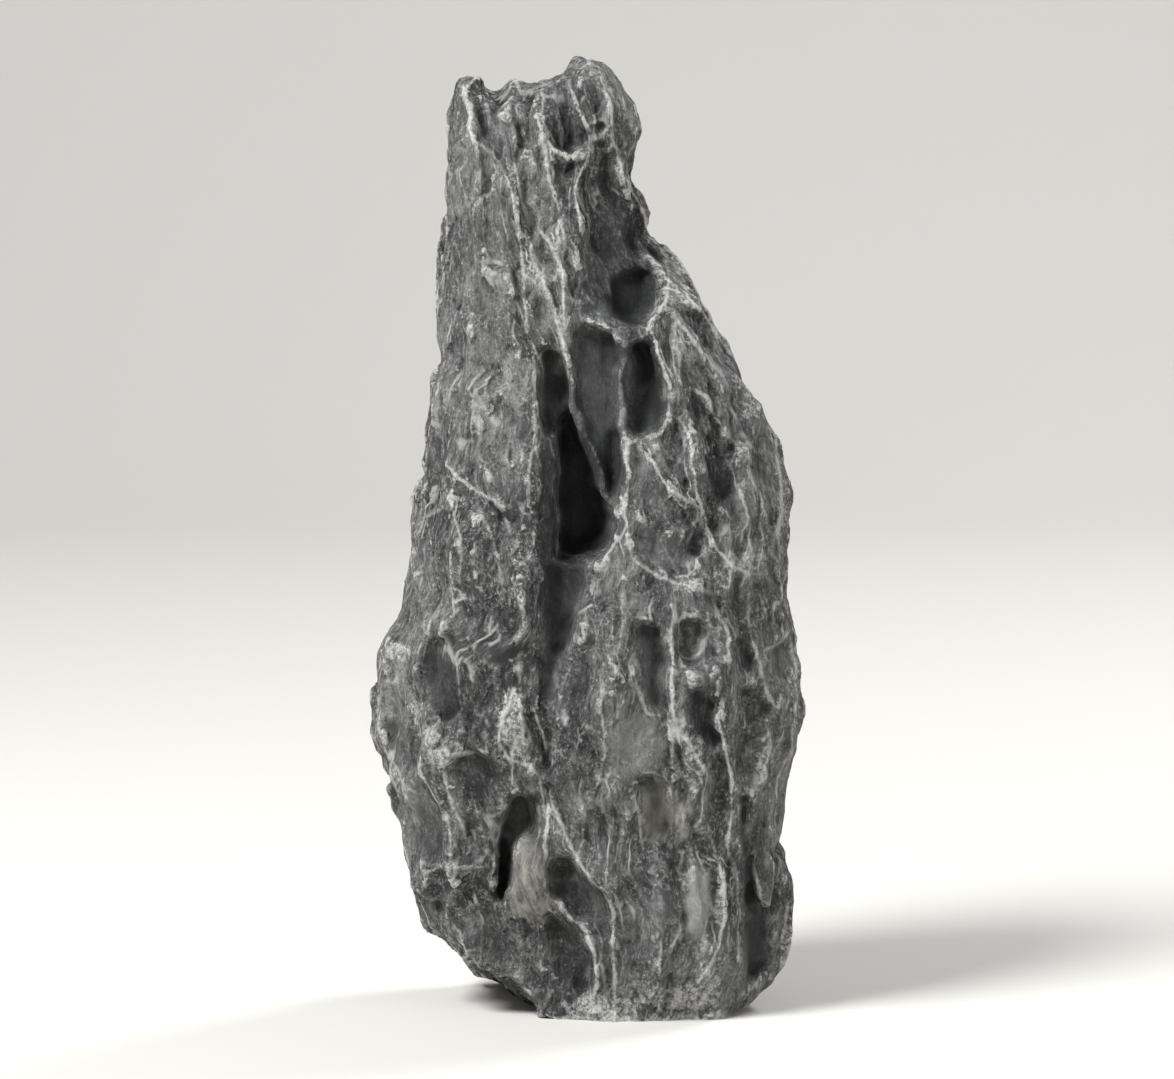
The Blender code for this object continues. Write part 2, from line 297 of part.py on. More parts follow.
# Crests of a side, as points across and up, then how far they stand out and how wide they are
CRESTS = {
    "front": (
        ("left rim", ((-31.5, 205), (-31, 192), (-31.4, 176)), 1.0, 1.8),
        ("panel left line", ((-30, 174), (-31.4, 168), (-31.8, 160)), 0.8, 1.6),
        ("crown lip", ((-24, 210), (-27, 206.6), (-26, 202), (-26, 198), (-24.6, 195),
         (-20.6, 192.8)), 1.5, 1.9),
        ("crown step", ((-16, 208.6), (-14.6, 205), (-11, 206), (-7, 208)), 1.0, 1.8),
        ("crown cup left", ((-10.6, 201), (-9.4, 197), (-9, 191), (-8, 187), (-6.6, 183)), 1.5, 1.8),
        ("crown cup lip", ((-9.4, 197), (-7.4, 193.8), (-4, 192.4), (-1.6, 192), (0.4, 194.2)), 1.3, 1.5),
        ("crown cup right", ((-4.4, 207.6), (-2.6, 204.6), (-0.6, 200.6), (1.4, 196)), 1.5, 1.7),
        ("crown arch", ((-8, 208), (-4, 211), (1, 211), (4, 208), (8, 203), (10.4, 197)), 0.7, 2.0),
        ("bay rim", ((2, 212), (4.4, 207), (6, 201), (6.2, 196), (7.6, 189.6), (9.4, 183.6), (12.6, 179),
         (14.4, 173), (17, 169.6), (19.6, 166)), 2.2, 2.2),
        ("outer flute", ((-19.4, 191), (-17, 184), (-14.8, 178), (-14, 170), (-13.6, 163),
         (-13, 152)), 1.7, 2.0),
        ("long flute", ((-16.4, 200), (-15.8, 192), (-15, 184), (-12.6, 178.6)), 1.1, 1.6),
        ("flute left", ((-15.5, 177), (-12, 173), (-11.2, 168), (-9, 163), (-7.2, 158.6)), 1.6, 1.6),
        ("flute middle", ((-10.4, 176), (-8, 172), (-5.8, 167), (-5, 161), (-4.6, 156)), 1.5, 1.5),
        ("flute inner", ((-8, 187), (-7, 182), (-6.4, 177), (-6.4, 171)), 1.4, 1.6),
        ("flute tip", ((-7.2, 159), (-6, 153), (-4.6, 147), (-4, 142)), 1.8, 2.2),
        ("bay post", ((0.4, 194.4), (-0.8, 190), (-2.2, 186), (-2.2, 181), (-1.2, 177),
         (0, 174)), 1.5, 1.6),
        ("bay line", ((0, 190), (3, 189), (6, 188)), 0.7, 1.3),
        ("bay wall", ((18.4, 166), (18, 160), (15.6, 158), (13.6, 155), (15.4, 151.6), (16.6, 147),
         (18.2, 141), (19, 136)), 1.5, 1.7),
        ("post line", ((19.4, 154), (21, 151), (20.8, 144), (19.8, 136.6)), 1.1, 1.6),
        ("bay lip", ((-1, 156), (2.6, 154.6), (6, 152.6), (9, 151.6), (12.4, 153)), 1.3, 1.6),
        ("slot lip", ((-3.8, 141), (-2.4, 136.6), (-0.4, 130.6), (1.2, 125.6), (2.8, 119.6),
         (5, 113.6)), 0.9, 1.5),
        ("shoulder ridge", ((19, 168), (22.6, 162), (26, 156.4), (30, 150), (36.5, 141)), 1.8, 2.4),
        ("shoulder line", ((20, 157), (24, 150.6), (28, 146), (31.4, 141)), 1.3, 1.7),
        ("shoulder inner line", ((23.6, 141), (26.4, 139.4), (28, 135), (30.4, 131.6),
         (32.6, 128.4)), 1.3, 1.7),
        ("shield left edge", ((13.6, 131), (9.8, 130), (9, 127), (9.4, 120), (8.4, 115.6), (8.9, 109),
         (10, 105)), 1.4, 1.6),
        ("shield top", ((13.4, 129.4), (14.6, 125.6), (17.6, 121), (21, 118.6), (25, 115)), 1.4, 1.7),
        ("shield edge", ((20.4, 134.6), (22.6, 130), (23.2, 125), (24.4, 119), (27, 110), (29, 105),
         (32, 102), (38, 100)), 1.9, 2.0),
        ("shield inner edge", ((24.4, 114), (26, 109), (26.2, 103.4)), 0.6, 1.4),
        ("shield foot", ((10, 105), (14, 102), (19, 98.8), (24, 97.6), (29, 96)), 1.2, 1.7),
        ("shield scratch", ((16, 109), (18, 105), (20, 101)), 0.7, 1.2),
        ("right bulge line", ((33.1, 119.3), (34.3, 115.8), (36, 112.3), (34.9, 110), (34, 106)), 1.4, 1.6),
        ("right bulge line, outer", ((35.6, 123), (38.2, 116.6), (40.6, 110.6)), 1.2, 1.5),
        ("right edge line, upper", ((40, 133), (42, 127), (43.2, 120), (43.4, 112), (43, 104)), 1.2, 1.6),
        ("middle line, upper", ((8, 98), (7.6, 93), (7.4, 88)), 0.9, 1.4),
        ("panel crease lip", ((-31.7, 128.6), (-31.5, 124.5), (-27.8, 121), (-22.6, 118), (-19.2, 116.4),
         (-17.3, 110.5)), 1.3, 1.7),
        ("panel line", ((-31.6, 121), (-29.8, 116), (-28.2, 110), (-27.8, 104), (-27.8, 98)), 1.0, 1.5),
        ("panel line, inner", ((-24.3, 116.6), (-22.6, 113), (-20.9, 108), (-18.6, 99)), 1.1, 1.5),
        ("panel line, left", ((-37.6, 111), (-35, 112.6), (-32.6, 114)), 0.9, 1.4),
        ("pocket left edge", ((-12, 151), (-11.9, 142), (-11.5, 134), (-12.3, 127), (-12.9, 118)),
         1.1, 1.4),
        ("channel bank", ((-15.6, 110), (-16, 104), (-14.6, 98), (-13.4, 92), (-12.8, 86)), 1.5, 2.0),
        ("rough triangle", ((-15, 83), (-14.6, 77), (-17.6, 72), (-19.4, 66), (-19, 61)), 1.3, 1.9),
        ("triangle right side", ((-14.6, 78), (-14.2, 70), (-13.6, 62)), 1.2, 1.6),
        ("inner step lip", ((-19, 62), (-16.6, 59.6), (-13, 58.4), (-10.4, 56.4)), 1.2, 1.7),
        ("bulge top lip", ((-45.6, 80), (-42.4, 82.4), (-39, 82)), 1.0, 1.6),
        ("bulge loop", ((-45.4, 74), (-43, 73.6), (-42, 76), (-43.8, 80)), 0.9, 1.3),
        ("bulge right line", ((-38.6, 76), (-38.6, 71), (-36.6, 67.4)), 0.9, 1.5),
        ("left step lip", ((-36.4, 67), (-33.4, 65), (-31, 60.6), (-27, 61), (-24.4, 61.4)), 1.1, 1.8),
        ("left wedge", ((-31.4, 57), (-30.4, 50.6), (-28.6, 46.6), (-26.6, 41.6)), 1.3, 1.8),
        ("left wedge side", ((-30.6, 48), (-30.6, 41), (-30, 36)), 0.9, 1.4),
        ("low left line", ((-37, 32), (-32, 34.4), (-28, 35.2), (-23, 35)), 1.0, 1.7),
        ("left edge line", ((-46.4, 72), (-46.6, 64), (-44.4, 58), (-42.8, 50)), 1.3, 1.6),
        ("right edge line", ((45.4, 86), (46.4, 79), (46.6, 70), (46, 61), (44.6, 54)), 1.1, 1.6),
        ("tongue edge", ((-8.6, 51), (-9, 44), (-9.6, 36)), 1.7, 1.5),
        ("tongue left edge", ((-14.4, 40.4), (-16, 36.4), (-16.3, 31.6), (-15, 26), (-13.4, 23)), 0.9, 1.5),
        ("low crack lip", ((-7.4, 48), (-5, 44), (-4, 40), (-1, 34.6), (3.6, 29.6), (5.8, 26), (5.4, 18),
         (6.4, 10), (6, 3)), 1.3, 1.6),
        ("low crease lip", ((-9, 29), (-4.6, 25.6), (-0.4, 21), (1.6, 15), (2.4, 9), (1.4, 3)), 1.3, 1.6),
        ("middle line", ((3, 81), (2.8, 72), (3.4, 62), (3.4, 55)), 0.8, 1.5),
        ("plate edge", ((9.6, 82), (11.4, 76), (13, 70.4), (16.6, 69.4)), 1.0, 1.5),
        ("middle post", ((19.4, 96), (18.8, 86), (18.4, 76), (19.6, 66)), 1.5, 1.8),
        ("hole rim", ((16.8, 69), (18.4, 65), (18.8, 60.6)), 1.2, 1.5),
        ("hole rim, right", ((19.6, 66), (22, 64.6), (24, 60.6), (27, 56)), 1.3, 1.6),
        ("pit lip", ((12.6, 55), (10.8, 52), (11.4, 46), (11.8, 40)), 1.2, 1.5),
        ("ragged rib", ((28, 95), (31, 88), (31.4, 80)), 1.3, 1.9),
        ("right rib", ((29.4, 73), (29, 67.6), (30.6, 61), (32.4, 55), (32, 47), (31.6, 40),
         (32.6, 35)), 1.9, 2.0),
        ("low rib", ((26, 37.6), (29.4, 36), (30.8, 30), (30.6, 24), (29.6, 18), (27.6, 13),
         (25, 9)), 1.5, 1.9),
        ("gutter left bank", ((32.6, 35), (33.8, 28), (34.2, 20), (34.4, 12)), 0.9, 1.4),
        ("gutter bank", ((36.6, 34), (38.8, 29), (39.4, 23)), 1.0, 1.4),
        ("flange crest", ((36, 92), (37, 86), (38.4, 79), (40.6, 73), (42.2, 69.6)), 1.2, 1.8),
        ("flange lower crest", ((39.8, 66), (40.6, 61), (39, 56), (38.4, 52)), 1.1, 1.6),
        ("right ledge", ((39, 82.6), (43, 83.6), (46, 86)), 1.3, 1.8),
        ("flange tip", ((45.6, 25), (44.8, 19), (43, 14)), 1.0, 1.8),
    ),
    "back": (
        ("spine crest", ((10, 200), (13, 176), (11, 150), (16, 122), (13, 92), (17, 62),
         (14, 30)), 2.4, 3),
        ("gully bank", ((-9, 160), (-12, 130), (-8, 110), (-10, 84), (-7, 60)), 2.0, 2.6),
        ("shoulder edge", ((-34, 84), (-26, 78), (-16, 70), (-12, 58), (-15, 44)), 1.4, 3.2),
        ("scoop edge", ((32, 128), (24, 120), (17, 116)), 1.6, 2.4),
    ),
    "right": (
        ("flank crest", ((2, 176), (4, 150), (2, 122), (4, 96), (-1, 70), (1, 46)), 1.2, 2.8),
        ("rear crest", ((14, 130), (16, 102), (13, 80), (15, 52)), 1.6, 2.4),
    ),
    "left": (
        ("edge crest", ((-3, 196), (-4, 168), (-2, 140), (-4, 112), (-1, 92)), 1.8, 2.6),
        ("belly crest", ((3, 94), (5, 80), (2, 64), (4, 48)), 1.6, 2.6),
    ),
}

# How a crest falls away: a larger number makes it sharper
CREST_SHARE = 0.85
CREST_POWER = 1.15
STEEP_FLANK = 0.8  # a crest's reach to its steep side, as a share of its width
LONG_FLANK = 2.2  # and to its other side

# How the walls of a hollow curve: a smaller number stands them up more
GENTLE = 0.8
STEEP = 0.55
DEEP = 1.5  # a hollow this many times deeper than its half width has steep walls
RUN_OUT = 0.9  # added towards the lower end

# Lesser hollows of the sides, back and crown are scattered with a fixed seed
SCATTER_SEED = 11
SCATTER = (
    # count, least and most half width, how much taller than wide, depth as a share of the half width
    (30, 6.0, 9.5, 2.0, 0.30),
    (120, 2.8, 4.6, 2.2, 0.38),
)

# The block that cuts the foot level
GROUND_WIDTH = 300
GROUND_DEPTH = 100

ROCK_GREY = (0.105, 0.108, 0.112, 1.0)
ROCK_ROUGHNESS = 0.85


def smooth_step(low, high, value):
    """0 below low, 1 above high, and an even curve between them."""
    t = np.clip((value - low) / (high - low), 0, 1)
    return t * t * (3 - 2 * t)


def along(profile, place):
    """Reads a profile, a list of (place, value), at each place."""
    places, values = zip(*profile)
    return np.interp(place, places, values)


def field(points, size, octaves=4, seed=0.0):
    """Fractal noise, about -1 to 1, whose broadest waves are this many millimetres long."""
    shift = Vector((seed, seed * 1.7, -seed * 0.6))
    return np.array([noise.fractal(Vector(p) / size + shift, 1.0, 2.1, octaves) for p in points])


def get_points(mesh):
    points = np.empty(len(mesh.vertices) * 3, np.float32)
    mesh.vertices.foreach_get("co", points)
    return points.reshape(-1, 3).astype(float) / MM


def set_points(mesh, points):
    mesh.vertices.foreach_set("co", (points * MM).astype(np.float32).ravel())
    mesh.update()


def get_normals(mesh):
    normals = np.empty(len(mesh.vertices) * 3, np.float32)
    mesh.vertex_normals.foreach_get("vector", normals)
    return normals.reshape(-1, 3).astype(float)


def apply_modifiers(obj):
    """Keeps what the object's modifiers make of it as its own mesh."""
    graph = bpy.context.evaluated_depsgraph_get()
    made = bpy.data.meshes.new_from_object(obj.evaluated_get(graph))
    old, obj.data = obj.data, made
    obj.modifiers.clear()
    bpy.data.meshes.remove(old)
    bpy.context.view_layer.update()


def regrain(obj, grain):
    """Makes the working mesh's faces even again, as they stretch where a hollow is cut."""
    remesh = obj.modifiers.new("grain", "REMESH")
    remesh.mode = "VOXEL"
    remesh.voxel_size = grain * MM
    remesh.adaptivity = 0
    apply_modifiers(obj)


def foot_level(x, y):
    """Height of the underside: the front left corner and the right edge hang clear of the ground."""
    left = 0.74 * (-6 - x - 0.34 * (y + 26))
    right = 0.62 * (x - 32)
    return np.clip(np.maximum(left, right), -FOOT_SINK, 22)


def crown_level(x, y):
    depth = np.abs(y - 1) / 12
    return along(CROWN, x) - CROWN_FALL * np.clip(depth, 0, 1.3) ** 2


def rough_block():
    """A cube cut into a grid, then drawn out to the outlines seen from the front and the side."""
    bpy.ops.mesh.primitive_cube_add(size=2)
    obj = bpy.context.object
    obj.name = obj.data.name = "seiryu_stone"
    grid = obj.modifiers.new("grain", "REMESH")
    grid.mode = "VOXEL"
    grid.voxel_size = 2 / 48
    apply_modifiers(obj)
    cube = get_points(obj.data) * MM
    cube = np.clip(cube / np.abs(cube).max(), -1, 1)
    reach = np.maximum(np.abs(cube[:, 0]), np.abs(cube[:, 1]))
    angle = np.arctan2(cube[:, 1], cube[:, 0])
    cos, sin = np.cos(angle), np.sin(angle)
    plan = (np.abs(cos) ** SQUARENESS + np.abs(sin) ** SQUARENESS) ** (-1 / SQUARENESS)
    u, v, up = reach * plan * cos, reach * plan * sin, (cube[:, 2] + 1) / 2
    z = up * HEIGHT
    for _ in range(4):  # the underside and the crown depend on the place, and the place on the height
        left, right = along(LEFT_EDGE, z), along(RIGHT_EDGE, z)
        front, back = along(FRONT_FACE, z), along(BACK_FACE, z)
        x = (left + right) / 2 + u * (right - left) / 2
        y = (front + back) / 2 + v * (back - front) / 2
        low, high = foot_level(x, y), crown_level(x, y)
        z = low + up * (high - low)
    set_points(obj.data, np.column_stack((x, y, z)))
    regrain(obj, ROUGH_GRAIN)
    return obj


def warp(points):
    """Bends the block a little, so that no face stays ruled."""
    offsets = [field(points, 46, 3, seed) for seed in (3.1, 7.7, 5.3)]
    return points + np.column_stack((offsets[0] * 1.2, offsets[1] * 3.2, offsets[2] * 0.8))


def split(points):
    """Takes the block back to each flat face."""
    for _, place, direction, share in FACETS:
        normal = np.array(direction) / np.linalg.norm(direction)
        proud = (points - np.array(place)) @ normal
        points = points - np.outer(np.clip(proud, 0, None) * share, normal)
    return points


def seen_from(side, points, normals):
    """Place across a side and up it, both bent a little, as no line in a stone stays drawn, and how far
    each point faces the side, from 0 to 1."""
    across, up, inward = (np.array(direction, float) for direction in SIDES[side])
    flat = np.outer(points @ across, across) + np.outer(points @ up, up)
    sway, lift = field(flat, 8, 3, 2.2) * BEND, field(flat, 8, 3, 6.2) * BEND
    return points @ across + sway, points @ up + lift, smooth_step(0.05, 0.5, -(normals @ inward))


def swell(points, normals):
    """Pushes the broad swellings out, each towards its own side."""
    moved = points.copy()
    for side, swellings in SWELLINGS.items():
        across, up, facing = seen_from(side, points, normals)
        out = np.zeros(len(points))
        for _, x, z, half_width, half_height, rise in swellings:
            r2 = ((across - x) / half_width) ** 2 + ((up - z) / half_height) ** 2
            out += rise * np.exp(-1.4 * r2)
        moved -= np.outer(out * facing, SIDES[side][2])
    return moved


def hollow_depth(across, up, hollow):
    """Depth of one hollow: a sharp rim above, steep walls where it is deep and narrow, and a lower end
    that runs out slowly, as water leaves it."""
    _, x, z, half_width, reach_up, reach_down, depth, lean = hollow
    tilt = np.radians(lean)
    dx, dz = across - x, up - z
    sideways = dx * np.cos(tilt) - dz * np.sin(tilt)
    upward = dx * np.sin(tilt) + dz * np.cos(tilt)
    reach = np.where(upward > 0, reach_up, reach_down)
    r2 = (sideways / half_width) ** 2 + (upward / reach) ** 2
    steepness = STEEP if depth > DEEP * half_width else GENTLE
    steepness += RUN_OUT * np.clip(-upward / reach_down, 0, 1)
    return depth * np.clip(1 - r2, 0, 1) ** steepness


def distance_to_line(across, up, line):
    """Distance from each place to a line through these points, how far along the line that is, and on
    which side of it the place lies."""
    best = np.full(len(across), np.inf)
    share, side = np.zeros(len(across)), np.ones(len(across))
    for i, ((ax, az), (bx, bz)) in enumerate(zip(line, line[1:])):
        dx, dz = bx - ax, bz - az
        t = np.clip(((across - ax) * dx + (up - az) * dz) / (dx * dx + dz * dz), 0, 1)
        d = np.hypot(across - ax - t * dx, up - az - t * dz)
        nearer = d < best
        best = np.where(nearer, d, best)
        share = np.where(nearer, (i + t) / (len(line) - 1), share)
        side = np.where(nearer, np.where((across - ax) * dz > (up - az) * dx, 1, -1), side)
    return best, share, side


def inside_distance(across, up, outline):
    """Distance in from a closed outline, less than zero outside it."""
    ring = outline + outline[:1]
    distance = distance_to_line(across, up, ring)[0]
    inside = np.zeros(len(across), bool)
    for (ax, az), (bx, bz) in zip(ring, ring[1:]):
        if az != bz:
            inside ^= ((az > up) != (bz > up)) & (across < ax + (up - az) * (bx - ax) / (bz - az))
    return np.where(inside, distance, -distance)


def scoop_depth(across, up, scoop):
    """Depth of one scoop: a sharp rim, walls that curve down to the floor, and a deeper side."""
    _, outline, depth, wall, (rightward, upward) = scoop
    corners = np.array(outline)
    middle = (corners.max(axis=0) + corners.min(axis=0)) / 2
    reach = (corners.max(axis=0) - corners.min(axis=0)) / 2
    slope = 1 + rightward * (across - middle[0]) / reach[0] + upward * (up - middle[1]) / reach[1]
    inside = np.clip(inside_distance(across, up, outline) / wall, 0, 1)
    return depth * slope * (1 - (1 - inside) ** 2)


def water_worn(points, normals, table):
    """How far each point lies inside the smooth dark scoops of the front, each by its own strength."""
    across, up, _ = seen_from("front", points, normals)
    scoops = {scoop[0]: scoop for scoop in SCOOPS["front"]}
    most = np.zeros(len(points))
    for name, strength in table:
        share = scoop_depth(across, up, scoops[name]) / scoops[name][2]
        most = np.maximum(most, strength * smooth_step(0.1, 1.05, share))
    return most * smooth_step(-0.5, 0, -normals[:, 1])


def hollow_out(points, normals):
    """Cuts each side by the deepest hollow at each place, which leaves a crest where two hollows meet."""
    moved = points.copy()
    for side, hollows in HOLLOWS.items():
        across, up, facing = seen_from(side, points, normals)
        cuts = [hollow_depth(across, up, hollow) for hollow in hollows]
        cuts += [scoop_depth(across, up, scoop) for scoop in SCOOPS.get(side, ())]
        moved += np.outer(np.max(cuts, axis=0) * facing, SIDES[side][2])
    return moved


def raise_crests(points, normals):
    """Raises each crest along its line, unevenly, down to nothing at its ends, and steeper on one side,
    turn about."""
    moved = points.copy()
    for side, crests in CRESTS.items():
        across, up, facing = seen_from(side, points, normals)
        rise = np.zeros(len(points))
        uneven = CREST_SHARE * (0.4 + 0.6 * smooth_step(-0.35, 0.25, field(points, 9, 3, 5.7)))
        for k, (_, line, height, width) in enumerate(crests):
            distance, share, side_of_line = distance_to_line(across, up, line)
            ends = smooth_step(0, 0.2, share) * smooth_step(0, 0.2, 1 - share)
            reach = width * np.where(side_of_line == (-1) ** k, LONG_FLANK, STEEP_FLANK)
            ridge = np.clip(1 - distance / reach, 0, 1) ** CREST_POWER
            rise = np.maximum(rise, height * uneven * ends * ridge)
        moved -= np.outer(rise * facing, SIDES[side][2])
    return moved


def scatter_hollows(points, normals, block_normals):
    """Cuts upright oval hollows all over the sides, back and crown, each one along its own direction, but
    none where the block, before any hollow was cut, faced forward."""
    rng = np.random.default_rng(SCATTER_SEED)
    depth = np.zeros(len(points))
    push = np.zeros_like(points)
    behind = 1 - smooth_step(0.15, 0.6, -block_normals[:, 1])
    for count, least, most, tall, share in SCATTER:
        for _ in range(count):
            turn, height = rng.uniform(-0.15, np.pi + 0.15), rng.uniform(4, HEIGHT - 4)
            half_width, lean = rng.uniform(least, most), rng.normal(0, 0.25)
            outward = np.array((np.cos(turn), np.sin(turn), 0))
            offset = points - (0, 0, height)
            reach = offset @ outward
            beside = np.linalg.norm(offset - np.outer(reach, outward), axis=1) + HEIGHT * (reach < 0)
            near = np.argsort(beside)[:30]
            centre = points[near].mean(axis=0)
            inward = -normals[near].mean(axis=0)
            inward /= np.linalg.norm(inward)
            side = np.cross((lean, lean, 1.0), inward)
            side /= np.linalg.norm(side)
            upright = np.cross(inward, side)
            offset = points - centre
            r2 = (offset @ side / half_width) ** 2 + (offset @ upright / (half_width * tall)) ** 2
            agrees = smooth_step(0.2, 0.6, -(normals @ inward)) * behind
            agrees[np.abs(offset @ inward) > 1.5 * half_width] = 0
            cut = share * half_width * np.clip(1 - r2, 0, 1) * agrees
            deeper = cut > depth
            depth = np.where(deeper, cut, depth)
            push[deeper] = inward
    return points + push * depth[:, None]


def along_beds(points):
    """Places measured across the stone's beds."""
    left, right = along(LEFT_EDGE, points[:, 2]), along(RIGHT_EDGE, points[:, 2])
    share = (points[:, 0] - (left + right) / 2) / (right - left)
    bent = points.copy()
    bent[:, 0] = (1 - FOLLOW) * points[:, 0] + FOLLOW * BED_WIDTH * share
    return bent + np.column_stack([field(points, 16, 3, seed) * 2.6 for seed in (8.8, 1.9, 4.6)])


def flute(points, normals, layers):
    """Wrinkles along the beds: troughs round scattered centres, with crests where they meet."""
    beds = along_beds(points)
    rise = np.zeros(len(points))
    for size, height in layers:
        scale = Vector((1 / size[0], 1 / size[1], 1 / size[2]))
        nearest = np.array([noise.voronoi(Vector(p) * scale)[0][0] for p in beds])
        rise += height * (np.clip(nearest, 0, 1) ** 2 - 0.3)
    return points + normals * rise[:, None]


def flute_rough_places(points, normals):
    """The wrinkles of the whole stone, which fade out in the scoops that water wore smooth."""
    rough = 1 - 0.85 * water_worn(points, normals, CALM)
    return points + (flute(points, normals, FLUTES) - points) * rough[:, None]


def break_facets(points, normals, layers):
    """Flat breaks, each tilted its own way, with a step where one ends."""
    rise = np.zeros(len(points))
    for size, tilt, seed in layers:
        scale = Vector((1 / size[0], 1 / size[1], 1 / size[2]))
        wander = np.column_stack([field(points, 5, 2, seed + i) * 0.8 for i in range(3)])
        centres = np.array([noise.voronoi(Vector(p) * scale)[1][0] for p in points + wander]) * size
        turns = np.sin(centres @ np.array((12.9898, 78.233, 37.719))[:, None] * (1.0, 1.7, 2.3)) * 43.7585
        turns = (2 * (turns - np.floor(turns)) - 1) * (1, 1, size[0] / size[2])
        rise += np.sum((points - centres) * turns, axis=1) * tilt
    return points + normals * np.clip(rise, -MOST_BREAK, MOST_BREAK)[:, None]


def cut_foot(obj, cutters):
    """Cuts the stone off level where it rests."""
    bpy.ops.mesh.primitive_cube_add(size=1)
    ground = bpy.context.object
    ground.name = "ground_cutter"
    ground.scale = (GROUND_WIDTH * MM, GROUND_WIDTH * MM, GROUND_DEPTH * MM)
    ground.location = (0, 0, -GROUND_DEPTH * MM / 2)
    ground.hide_render = True
    ground.display_type = "WIRE"
    move_to(ground, cutters)
    cut = obj.modifiers.new("foot", "BOOLEAN")
    cut.operation = "DIFFERENCE"
    cut.solver = "EXACT"
    cut.object = ground
    apply_modifiers(obj)


def thin_out(obj, most):
    """Merges the small faces until there are at most this many triangles."""
    obj.data.calc_loop_triangles()
    decimate = obj.modifiers.new("thin", "DECIMATE")
    decimate.ratio = min(1.0, most / len(obj.data.loop_triangles))
    apply_modifiers(obj)


def stand_on_origin(mesh):
    """Moves the stone sideways until the middle of its box is over the origin."""
    points = get_points(mesh)
    middle = (points.min(axis=0) + points.max(axis=0)) / 2
    set_points(mesh, points - (middle[0], middle[1], 0))


def clear_scene():
    for obj in list(bpy.data.objects):
        bpy.data.objects.remove(obj)
    for collection in list(bpy.data.collections):
        bpy.data.collections.remove(collection)


def new_collection(name):
    collection = bpy.data.collections.new(name)
    bpy.context.scene.collection.children.link(collection)
    return collection


def move_to(obj, collection):
    for old in list(obj.users_collection):
        old.objects.unlink(obj)
    collection.objects.link(obj)


def stone_material():
    material = bpy.data.materials.new("weathered limestone")
    material.use_nodes = True
    surface = material.node_tree.nodes["Principled BSDF"]
    surface.inputs["Base Color"].default_value = ROCK_GREY
    surface.inputs["Roughness"].default_value = ROCK_ROUGHNESS
    surface.inputs["Metallic"].default_value = 0.0
    return material


def main():
    clear_scene()
    stone = rough_block()
    move_to(stone, new_collection("seiryu_stone"))
    set_points(stone.data, split(warp(get_points(stone.data))))
    set_points(stone.data, swell(get_points(stone.data), get_normals(stone.data)))
    set_points(stone.data, break_facets(get_points(stone.data), get_normals(stone.data), BREAKS))
    regrain(stone, FINE_GRAIN)
    normals = get_normals(stone.data)
    set_points(stone.data, hollow_out(get_points(stone.data), normals))
    set_points(stone.data, scatter_hollows(get_points(stone.data), get_normals(stone.data), normals))
    regrain(stone, FINE_GRAIN)
    set_points(stone.data, raise_crests(get_points(stone.data), get_normals(stone.data)))
    set_points(stone.data, flute_rough_places(get_points(stone.data), get_normals(stone.data)))
    thin_out(stone, MOST_TRIANGLES)
    cut_foot(stone, new_collection("cutters"))
    stand_on_origin(stone.data)
    stone.data.materials.clear()
    stone.data.materials.append(stone_material())


main()
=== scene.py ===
"""Visual model of one seiryu stone, set in a plain studio.

The stone is sculpted as its solid is, from the same outlines, hollows and crests, but on a much finer
mesh, and then gets what the solid leaves out: wrinkles, broken facets, cracks and grit. Sizes are in
millimetres unless a name says otherwise. The front faces -Y and +Z is up.
"""

import bmesh
import bpy
import numpy as np
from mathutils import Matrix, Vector, noise


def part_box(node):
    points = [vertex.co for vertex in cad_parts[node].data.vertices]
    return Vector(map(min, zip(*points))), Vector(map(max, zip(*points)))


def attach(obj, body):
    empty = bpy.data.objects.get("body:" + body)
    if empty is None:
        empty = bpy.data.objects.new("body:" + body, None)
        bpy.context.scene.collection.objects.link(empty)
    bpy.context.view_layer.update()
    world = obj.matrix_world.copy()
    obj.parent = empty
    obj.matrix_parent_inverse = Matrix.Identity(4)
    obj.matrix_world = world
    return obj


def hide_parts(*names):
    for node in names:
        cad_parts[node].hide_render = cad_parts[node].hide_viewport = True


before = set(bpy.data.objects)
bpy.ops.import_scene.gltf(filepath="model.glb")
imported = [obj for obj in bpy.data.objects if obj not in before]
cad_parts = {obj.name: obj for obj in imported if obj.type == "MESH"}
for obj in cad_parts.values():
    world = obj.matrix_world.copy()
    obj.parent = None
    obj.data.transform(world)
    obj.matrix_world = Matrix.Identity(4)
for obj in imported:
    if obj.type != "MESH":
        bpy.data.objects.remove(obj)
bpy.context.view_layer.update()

MM = 0.001
STONE = "seiryu_stone"
OFF_CENTRE = (0.05717, -0.84437)  # how far the sculpted block stands from the middle of its solid's box

# Driving dimensions
HEIGHT = 214.5
FOOT_SINK = 6.0  # how far the rough block reaches below the level of the cut foot
SQUARENESS = 2.9  # exponent of the plan outline: 2 is an ellipse, 4 nearly a rectangle

# How the block is meshed while it is worked
BLOCK_CELLS = 48  # cells along each edge of the cube that it starts from
ROUGH_GRAIN = 1.7  # size of the working mesh's faces for the broad forms
HOLLOW_GRAIN = 0.9  # for the hollows
CREST_GRAIN = 0.75  # for the crests
SKIN_GRAIN = 0.66  # for the wrinkles and broken facets
MOST_TRIANGLES = 194000

